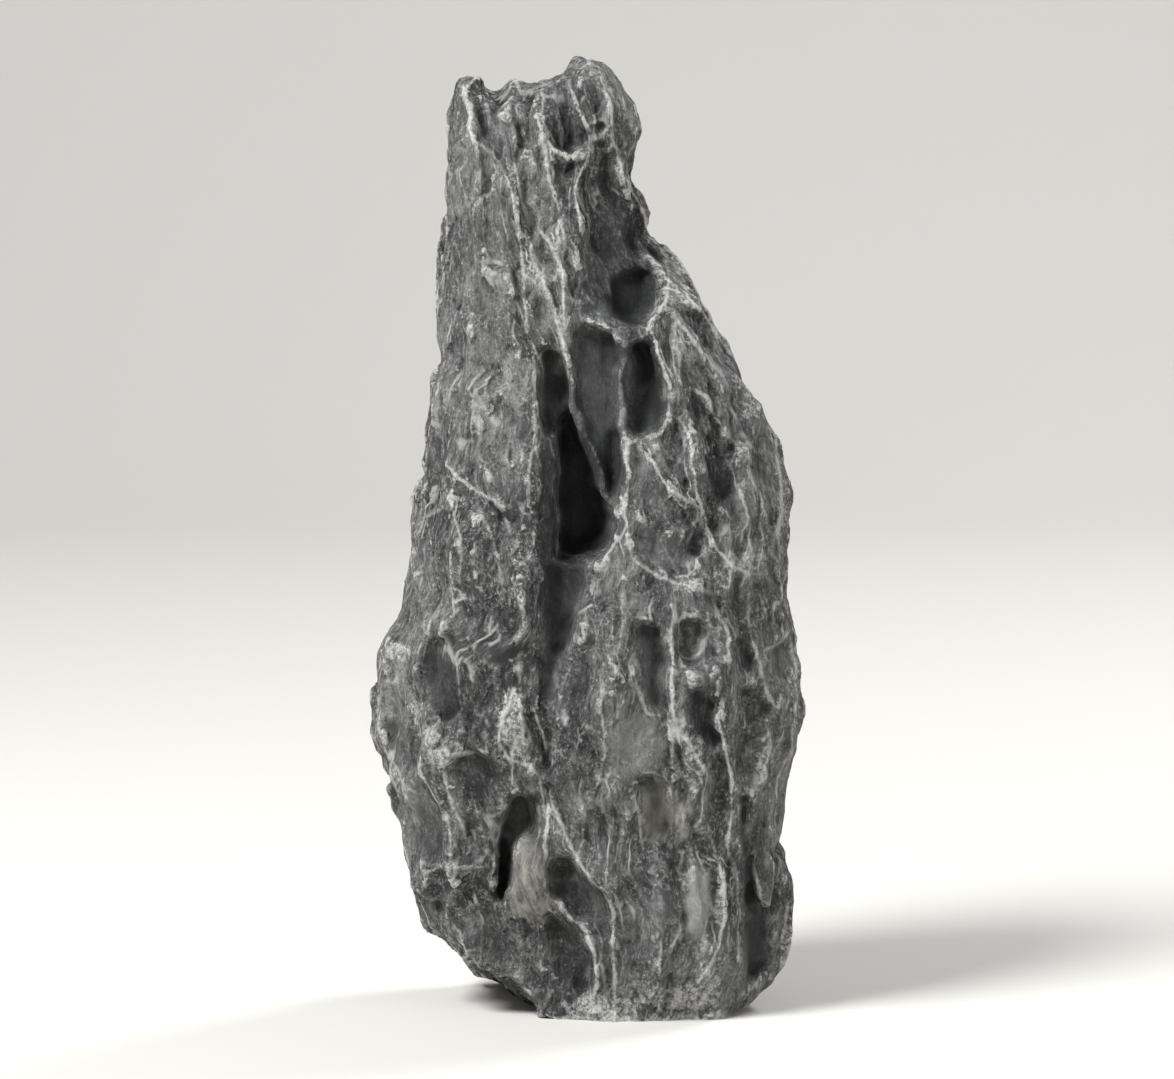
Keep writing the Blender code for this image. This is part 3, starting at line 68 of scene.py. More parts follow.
# The block's outline seen from the front: height, then where the edge is
LEFT_EDGE = (
    (0, -33), (10, -34.5), (20, -36.5), (27, -39.6), (34, -40.5), (42, -41.6), (50, -44.6),
    (57, -47), (61, -48.4), (67, -46.9), (76, -47.7), (83, -46), (87, -41), (92, -38.5), (99, -37.1),
    (108, -39.1), (113, -37), (120, -36.5), (133, -36.1), (141, -35.2), (145, -31.6), (158, -34),
    (168, -34.3), (178, -36), (186, -37.6), (196, -38.6), (203, -39.6), (207, -36.2), (211, -30.4),
)
RIGHT_EDGE = (
    (0, 40), (8, 42.4), (13, 45.8), (20, 46.8), (28, 46.3), (35, 43), (42, 45), (50, 45), (57, 46.1),
    (63, 47.6), (71, 46.8), (80, 47.6), (88, 47.5), (93, 45.1), (110, 45.5), (117, 45.4), (122, 45.2),
    (128, 42.6), (135, 42.9), (142, 38.3), (147, 32), (153, 29.4), (160, 26.4), (167, 18.6),
    (172, 12.9), (178, 13.5), (185, 10.4), (197, 10.7), (203, 10.4), (208, 8.2), (212, 6.4), (216, 4),
)
# Its outline seen from the side
FRONT_FACE = (
    (0, -23), (12, -26), (30, -28.5), (60, -30), (95, -28.5), (125, -26), (150, -22.5), (175, -17.5),
    (195, -13.5), (214, -8),
)
BACK_FACE = (
    (0, 24), (15, 27), (40, 29.5), (75, 30), (105, 27.5), (130, 24), (160, 20), (185, 14.5), (200, 11),
    (214, 6),
)
# The crown seen from the front: place across the slab, then height
CROWN = (
    (-38, 203), (-33, 207.4), (-30, 209.4), (-27.5, 210.4), (-24.5, 211), (-22.5, 205.4), (-20.5, 203.6),
    (-17, 209.4), (-13, 205), (-8, 208.6), (-4, 210.8), (0, 213.2), (3.5, 214.4), (6.5, 211),
    (9.5, 205), (12.5, 196.4),
)
# How much lower the crown is, at this distance before and behind its middle, which lies here, and how
# many times that far it goes on falling
CROWN_FALL, CROWN_REACH, CROWN_MIDDLE, CROWN_END = 7.0, 12, 1, 1.3
# The underside hangs clear of the ground at the left and at the right: how steeply, and from where on.
# The left end runs askew to the front.
LEFT_LIFT, LEFT_START, LEFT_SKEW, SKEW_START = 0.74, -6, 0.34, -26
RIGHT_LIFT, RIGHT_START = 0.62, 32
MOST_LIFT = 22

# Flat faces the block is split along: a point on each, its outward direction, and how much is taken
FACETS = (
    ("left flank", (-40, -14, 80), (-0.80, -0.58, 0.12), 0.85),
    ("upper left panel", (-24, -21.5, 150), (-0.30, -0.94, 0.13), 0.8),
    ("right flank", (37, -17, 110), (0.66, -0.73, 0.16), 0.85),
    ("lower right flank", (42, -14, 30), (0.82, -0.56, -0.04), 0.8),
    ("back left split", (-31, 15, 90), (-0.70, 0.70, 0.10), 0.9),
    ("back right split", (33, 16, 80), (0.62, 0.77, 0.12), 0.9),
    ("back upper slope", (-8, 19, 165), (-0.12, 0.95, 0.28), 0.85),
    ("back lower slab", (2, 28, 50), (0.08, 0.99, -0.05), 0.8),
    ("right shoulder back", (20, 10, 165), (0.75, 0.60, 0.28), 0.85),
    ("crown back", (4, 8, 200), (0.45, 0.84, 0.30), 0.9),
    ("crown left back", (-27, 8, 196), (-0.55, 0.78, 0.30), 0.85),
)

# Beds run from foot to crown, and follow the stone's two edges by this share
FOLLOW = 0.55
BED_WIDTH = 84
# Wrinkles along the beds: width, depth and height of a trough, and how far the crests between the
# troughs stand out
FLUTES = (((10, 10, 34), 2.9), ((6.0, 6.0, 18), 2.5))
FLUTE_LEVEL = 0.3  # share of the wrinkles' height that lies below the surface they are worked into
FLUTES_CALMED = 0.85  # how much less of them there is where the stone is smooth

# Breaks: width, depth and height of a facet, how far it tilts, and a number that sets its own pattern
BREAKS = (((17, 17, 26), 0.09, 1.5),)
MOST_BREAK = 0.9
# Numbers that turn the place of a break's centre into a tilt of its own
SCRAMBLE, SCRAMBLE_TURNS, SCRAMBLE_REACH = (12.9898, 78.233, 37.719), (1.0, 1.7, 2.3), 43.7585

# Uneven waves: how long they are, in how many octaves, a seed for each direction, how far they reach
BLOCK_WAVES = (46, 3, (3.1, 7.7, 5.3), (1.2, 3.2, 0.8))
BED_WAVES = (16, 3, (8.8, 1.9, 4.6), 2.6)
LINE_WAVES = (8, 3, (2.2, 6.2), 0.8)
PATCH_WAVES = (5, 3, (3.3, 6.1), 1.6)
BREAK_WAVES, BREAK_SWAY = (5, 2), 0.8  # whose seeds are the breaks' own
# What comes and goes over the stone: wave, octaves, seed, its least share, and the levels of the waves
# at which it is least and whole
UNEVEN_CRESTS = (9, 3, 5.7, 0.4, -0.35, 0.25)
UNEVEN_WRINKLES = (22, 2, 7.3, 0.35, -0.35, 0.35)

# The stone is worked from five sides: which way is across and up on each, and which way is into it
SIDES = {
    "front": ((1, 0, 0), (0, 0, 1), (0, 1, 0)),
    "right": ((0, 1, 0), (0, 0, 1), (-1, 0, 0)),
    "back": ((-1, 0, 0), (0, 0, 1), (0, -1, 0)),
    "left": ((0, -1, 0), (0, 0, 1), (1, 0, 0)),
    "top": ((1, 0, 0), (0, 1, 0), (0, 0, -1)),
}
FACING = (0.05, 0.5)  # cosines between which a place comes to face a side

# Broad swellings of a side: across, height, half width, half height, how far they stand out
SWELLINGS = {"front": (
    ("upper left rib", -24, 150, 11, 62, 2.5), ("lower left bulge", -31, 76, 15, 27, 4.5),
    ("lower left foot", -32, 40, 13, 16, 1.5), ("crown knob", 2, 204, 8, 11, 2.5),
    ("shield", 17, 116, 10, 18, 4.5), ("right bulge", 37, 116, 9, 24, 2), ("middle rib", 6, 64, 10, 26, 5),
    ("right middle rib", 25, 72, 8, 24, 3), ("lower middle", 14, 24, 17, 26, 4.5),
    ("tongue", -12.8, 33, 3.4, 9.5, 4), ("triangle", -16.4, 68, 2.8, 7.5, 1.8),
    ("low plate", 25, 27, 3.2, 10, 1.4), ("right flange", 41, 28, 6, 24, 1.5),
), "right": (
    ("right belly", 4, 70, 12, 26, 0.8),
), "back": (
    ("long spine", 12, 120, 8, 80, 5), ("low shoulder", -24, 62, 14, 30, 5), ("heel", 22, 22, 16, 16, 3.5),
    ("crown lobe", 20, 192, 9, 14, 1),
), "left": (
    ("left belly", -2, 84, 12, 18, 1.5),
)}
SWELLING_FALL = 1.4

# Scoops of the front that water wore: the rim as points across and up, the depth, how wide the walls
# are, how much deeper it gets towards its right and towards its top, how smooth the water left it, and
# how dark it is made inside, partly as silt and algae and partly as painted shade
SCOOPS = (
    ("black slot", ((-5.6, 138.6), (-3.8, 137.6), (-1.6, 133.6), (0.6, 128.8), (2.6, 124), (3.8, 119.6),
     (6, 115.6), (6.7, 111.4), (5.6, 107), (2.4, 103.4), (-2.6, 101.8), (-6.8, 102.2), (-8, 107), (-7.9, 118),
     (-7.6, 129), (-6.8, 135)), 20, 3.8, (0.2, 0), 1, 0.85),
    ("pocket above the slot", ((-10.8, 150.2), (-8.4, 151.2), (-5.6, 149.6), (-3.6, 145.2), (-2.9, 140.6),
     (-3.4, 136), (-4.8, 131.6), (-6.8, 129.8), (-9.4, 130.4), (-11.2, 134.4), (-11.7, 141.5)), 7.5, 2.6,
     (0.2, 0), 1, 0.4),
    ("slot bank", ((-10.4, 131), (-6.8, 131), (-6.4, 101), (-6.6, 96), (-10.6, 95), (-10.9, 115)), 3.4, 2.2,
     (0.5, -0.2), 0.75, 0.5),
    ("left scallop", ((-3.8, 152.8), (-1.6, 155.6), (1.6, 155.6), (5.6, 153.6), (7.2, 151.6), (7.2, 146),
     (6.8, 140.5), (7.2, 135), (8.2, 131), (8.4, 126), (8, 121), (7, 115.6), (5.4, 113.4), (4.2, 117.8),
     (2.6, 122.8), (0.6, 128.4), (-1.8, 134), (-3.6, 138), (-4.2, 146)), 5, 3, (0.4, 0.1), 1, 0.5),
    ("right scallop", ((7.8, 152), (9.6, 153), (12.8, 153), (15.2, 151.4), (16, 146.4), (16.8, 141),
     (17.2, 136), (16.4, 132.4), (13.6, 130.6), (10, 130.6), (8.8, 133.4), (8.4, 138), (7.8, 144)), 6, 3,
     (0.4, 0.05), 1, 0.95),
    ("low scallop", ((1.6, 131), (4.6, 133.6), (8, 132.6), (8.8, 126), (8.4, 121), (7.4, 116), (5.8, 113.4),
     (4.6, 117.8), (3, 122.8)), 6.6, 2.4, (0.5, 0), 0.9, 0.75),
    ("bay", ((1.8, 194.6), (4.6, 196), (6.6, 191), (8.2, 184.6), (12, 179), (14.6, 172.4), (16.4, 166),
     (17.4, 161), (15, 156.4), (12, 153.8), (8.4, 152.8), (3.4, 154.6), (-0.6, 157.6), (-2.6, 164), (-2, 172),
     (-0.8, 180), (-0.2, 188)), 7, 6.5, (0.5, -0.1), 0.6, 0.35),
    ("bay bowl", ((2.4, 160.4), (3.2, 164.8), (6.4, 167.8), (11, 168.4), (15.2, 166.6), (16.8, 162),
     (15.8, 157.2), (13, 154.2), (9.4, 152.8), (5.6, 153.4), (3, 156.4)), 10.4, 4, (0.1, 0.1), 1, 0.6),
    ("crown cup", ((-10.2, 202), (-8.6, 205.6), (-5.2, 206.4), (-2.6, 204), (-0.2, 200), (1.5, 196.4),
     (1, 193.4), (-2, 192.2), (-5, 192.5), (-8, 194.4), (-9.8, 197.6)), 2.8, 3.4, (0.5, -0.4), 0, 0.5),
    ("knob cup", ((-2.6, 207), (2, 209), (4.6, 205.6), (5.8, 200), (5, 196), (2, 195.6), (0.4, 198.6),
     (-1.4, 202.6)), 1.1, 3, (-0.2, 0), 0, 0.35),
    ("under the crown cup", ((-8.6, 191.6), (-4, 191.6), (-1.4, 191), (-2.6, 186), (-4, 180), (-6, 181.6),
     (-7.6, 187)), 2, 2.4, (0.3, 0.4), 0, 0.45),
    ("crown groove", ((-24.6, 207.6), (-22.8, 203), (-20.6, 198.4), (-21.2, 195), (-24, 195.4), (-25.4, 200)),
     2.4, 1.6, (-0.3, 0), 0, 0.7),
    ("crown dip", ((-17.5, 206.4), (-12, 206), (-10.6, 199), (-11.6, 193), (-15.6, 191.4), (-17, 198)), 1.2,
     3, (0, 0), 0, 0),
    ("channel under the slot", ((-10.4, 104), (-3, 105), (1.6, 104), (1.4, 97), (-0.6, 90), (-4, 82),
     (-6.8, 74), (-7.8, 65), (-9.4, 65), (-10.8, 74), (-11, 84), (-10.8, 93)), 6, 4.6, (-0.2, 0.2), 0.8,
     0.75),
    ("channel crack", ((-10, 72), (-7.4, 70), (-7.2, 60), (-7.8, 49), (-9.2, 49), (-9.6, 60)), 3.6, 1.4,
     (0, 0), 0, 0.6),
    ("left bulge hollow", ((-36.8, 83.6), (-33.4, 85), (-29.4, 83), (-26, 78.6), (-25, 73.4), (-27.4, 69.4),
     (-31.4, 67.8), (-35, 70.6), (-37, 76)), 4.2, 4.4, (-0.6, -0.1), 0.7, 0.6),
    ("left bulge dish", ((-38.4, 86), (-33, 88.4), (-24, 86), (-18.6, 79), (-19.4, 71), (-26, 65.8),
     (-33, 66), (-38, 72)), 3.4, 5.8, (-0.5, -0.2), 0, 0),
    ("left step", ((-30, 61.4), (-25, 62.2), (-20, 60.6), (-18.6, 55.6), (-20, 50.4), (-25, 49.2),
     (-29, 51.4), (-30.6, 56.6)), 2.6, 2.4, (0, 0.5), 0.4, 0.4),
    ("edge facet", ((-45.6, 65.4), (-41.4, 66.2), (-37.6, 65.2), (-36.6, 60.6), (-38, 56.4), (-42, 56.4),
     (-44.6, 60.6)), 2, 1.8, (-0.2, 0.2), 0, 0.35),
    ("shield cap", ((9.8, 129.4), (13.4, 130.6), (16.6, 132.6), (20.2, 134.4), (22, 130.4), (23, 125),
     (24, 119.8), (21, 119.6), (18, 122), (15.2, 126), (13, 128.6)), 1.5, 2.4, (0.3, 0), 0, 0),
    ("shield left", ((9.4, 127.4), (12.4, 127.6), (15, 123.6), (19, 119.4), (23.4, 115.8), (24.8, 113),
     (21, 109.6), (15, 112), (11.4, 115.6), (9.2, 119)), 1.5, 3.4, (-0.4, 0.2), 0.5, 0),
    ("shield low", ((9.2, 117.4), (11.6, 114.6), (15, 111.4), (21, 109.2), (25.6, 112.4), (26.8, 109),
     (25.6, 104.4), (21.8, 100.4), (18.6, 99.8), (12, 104), (9.6, 107.2)), 1.2, 3.6, (0.2, -0.2), 0.7, 0),
    ("right of the shield", ((23, 140.6), (27, 138.8), (28.8, 135), (31, 131.2), (30, 127.6), (26.4, 127.6),
     (23.6, 131.6), (22.8, 136)), 2.6, 2.2, (0.4, 0), 0, 0.45),
    ("right bulge face", ((25, 126), (30, 127), (33.6, 123.4), (33, 118.6), (28.6, 113), (26, 116.6)), 2.4,
     2.6, (0.4, 0.2), 0, 0.3),
    ("crease pocket", ((-22, 117.6), (-20, 116.8), (-18, 113.8), (-17.6, 111.6), (-19.4, 112.4),
     (-21.4, 115)), 3.2, 1, (0, 0), 0, 1),
    ("low pocket", ((-17, 50.8), (-14, 52.6), (-10.6, 51), (-9.7, 46), (-10.2, 41.4), (-13, 41.4),
     (-15.6, 38), (-17, 30), (-18.4, 26), (-20, 28), (-20.5, 37), (-20, 44)), 7, 3.6, (-0.5, 0.1), 0.9, 0.35),
    ("low pocket slit", ((-20.2, 40), (-18, 42.4), (-16.6, 38), (-16.8, 30.6), (-18, 26), (-19.8, 26.6),
     (-20.6, 34)), 11, 2, (0, 0), 1, 1),
    ("middle recess", ((9.7, 89.8), (13, 91.6), (17.4, 90.2), (18.2, 82), (18, 74.6), (16.6, 70.6),
     (13.4, 70.4), (12, 75), (10.6, 82)), 3.6, 3, (0.3, 0), 0.8, 0.55),
    ("ragged face", ((20.4, 91.6), (25.4, 92), (29, 88.6), (30.4, 83.4), (27, 79.4), (22.4, 78.6), (20, 84)),
     2.2, 2.4, (0.2, 0.4), 0, 0.1),
    ("dark face", ((21, 75.8), (25, 77.4), (28.6, 73.6), (28.4, 67.8), (30, 63), (27.4, 61.8), (24.4, 65),
     (22, 70)), 2.8, 2, (0.3, 0.2), 0.4, 0.5),
    ("upper bolt face", ((32.4, 87), (35.4, 86.6), (37.2, 82), (37, 78), (34, 77.4), (31.8, 81)), 2, 1.8,
     (0.4, 0), 0, 0.4),
    ("bolt face", ((33.6, 75.6), (38.4, 75.2), (40.6, 71.8), (41.6, 68.4), (38, 66), (34.2, 67.6)), 2.6, 2,
     (0.4, 0.2), 0, 0.5),
    ("rim face", ((39.2, 83), (41.4, 84.6), (46, 85.4), (49, 80), (47, 75), (42.8, 74.2), (40.6, 76.4),
     (39.6, 80)), 2.2, 2, (-0.2, 0.2), 0.5, 0),
    ("small hole", ((18.7, 63.8), (20.4, 64.4), (21.7, 60.4), (22.4, 56.6), (21.7, 55.2), (20, 58.8)), 5, 1.3,
     (0, 0), 0, 1),
    ("right of the tongue", ((-8.8, 33.8), (-6.4, 37), (-3, 37), (0, 33.8), (4, 29.8), (5.5, 25.8), (5, 19.6),
     (2.2, 19), (-0.2, 22.2), (-4, 25.8), (-8.2, 28.6)), 2.4, 2.8, (-0.3, 0), 0.6, 0.5),
    ("foot facet", ((-9.6, 26.2), (-5, 23.6), (-1, 19.4), (1.5, 13.6), (1.6, 6), (-2, 4), (-5.4, 6.6),
     (-8.8, 14), (-10.4, 20)), 2.5, 3, (0.3, 0.3), 0.4, 0.5),
    ("olive pit", ((10.8, 54.4), (14, 56), (17.4, 53.8), (18.4, 48), (17.8, 42), (14, 40), (11.6, 42.4),
     (11.2, 48)), 3, 3.8, (0.2, 0.1), 0.7, 0),
    ("right gutter", ((33.2, 51), (36.8, 50.6), (36, 42), (36.6, 35), (38.6, 30), (40.2, 24), (42, 16),
     (43, 10), (38, 7.6), (35, 7.4), (34.6, 16), (34.2, 26), (34, 36), (33.2, 44)), 6, 2.6, (-0.35, 0), 0.9,
     0.8),
)
# The last column darkens each scoop, partly as silt and algae and partly as painted shade
SMOOTHED, SILT_AND_SHADE = -2, -1  # the last two columns
SCOOP_FLOOR = (0.1, 1.05)  # shares of a scoop's depth between which it counts more and more

# Lesser hollows of a side: across, height of the deepest point, half width, reach up, reach down,
# depth, lean in degrees
HOLLOWS = {"front": (
    (30.6, 123.6, 4.6, 5.5, 7.5, 3, -8), (26, 152.6, 1.8, 9, 8, 2.8, -38), (25.6, 143, 2.4, 6, 9, 2.4, -28),
    (18.6, 152, 1.3, 8, 10, 1.6, 6), (-9.2, 171, 1.2, 4, 6, 2.4, -14), (-6.5, 161, 1, 4, 6, 2.4, -14),
    (-3.4, 168, 1.2, 9, 10, 2, -8), (-12.8, 183, 1.6, 8, 12, 2.2, -8), (-15.6, 197, 1.4, 8, 11, 2.4, -4),
    (-10.8, 190, 1.1, 7, 8, 1.8, -8), (-24.5, 117, 2.8, 10, 9.5, 1.5, -51), (-22, 161, 4, 9, 11, 1.2, 4),
    (-36, 43, 5, 11, 10, 2.6, 6), (-27, 27, 8, 8, 10, 1.2, 0), (-25, 48, 9.5, 11, 13, 1.4, 8),
    (-41, 68, 4, 8, 9, 1.8, 12), (-1, 78, 4, 10, 12, 2.4, 0), (45, 46, 4.5, 11, 9, 2.8, 0),
    (41.4, 79, 4, 5, 9, 2.8, 0), (35, 60, 2.6, 6, 8, 1.8, 0), (20.5, 30, 3, 12, 18, 1.8, 0),
    (11, 23, 5, 12, 15, 2.6, 0), (4, 43, 6, 7, 8, 2, 0), (42.6, 21, 2.4, 9, 9, 1.8, 4),
), "right": (
    (-3, 152, 7, 16, 26, 4, 8), (9, 118, 4.5, 34, 40, 5, -4), (-6, 88, 3.6, 10, 12, 7, 6),
    (4, 44, 8, 16, 20, 4, -8), (4, 190, 3.5, 12, 16, 3, 4), (16, 60, 3.2, 8, 9, 5, 0),
    (-14, 18, 5, 12, 12, 3.5, 0),
), "back": (
    (-3, 108, 5.5, 62, 58, 10, 4), (3, 172, 5, 14, 22, 6, -8), (24, 152, 8, 20, 30, 5.5, 6),
    (15, 132, 4.2, 9, 12, 5, 0), (-22, 132, 9, 16, 22, 5, -10), (-14, 96, 4.2, 9, 12, 11, 8),
    (-23, 104, 3.4, 7, 9, 7, 4), (24, 92, 8, 14, 20, 5, 10), (31, 72, 4, 9, 11, 6, 0),
    (6, 42, 8, 15, 22, 5.5, -6), (-12, 36, 2.6, 14, 14, 7, 6), (24, 34, 6, 9, 12, 4, 0),
    (-30, 46, 7, 14, 18, 4.5, -6), (-5, 197, 4.5, 8, 12, 3.5, 8), (3.5, 186, 2.8, 16, 18, 4, -3),
    (12, 196, 4.5, 9, 12, 3.5, 10), (26, 190, 3, 12, 18, 3.5, -4),
), "left": (
    (2, 168, 4.5, 28, 34, 4, 3), (-9, 122, 4, 26, 30, 4.5, -3), (9, 112, 3.6, 18, 22, 3.5, 4),
    (-3, 76, 4.4, 9, 12, 6, 8), (6, 42, 4.6, 14, 18, 4, -6), (-14, 52, 6, 14, 18, 4.5, 4),
), "top": (
    (-25, 2, 3.6, 4, 6, 3, 20), (-13, 8, 4, 4, 6, 2.4, -10), (2, 4, 3.4, 4, 5, 2.4, 0),
    (26, 2, 4.5, 7, 7, 3.5, 15),
)}

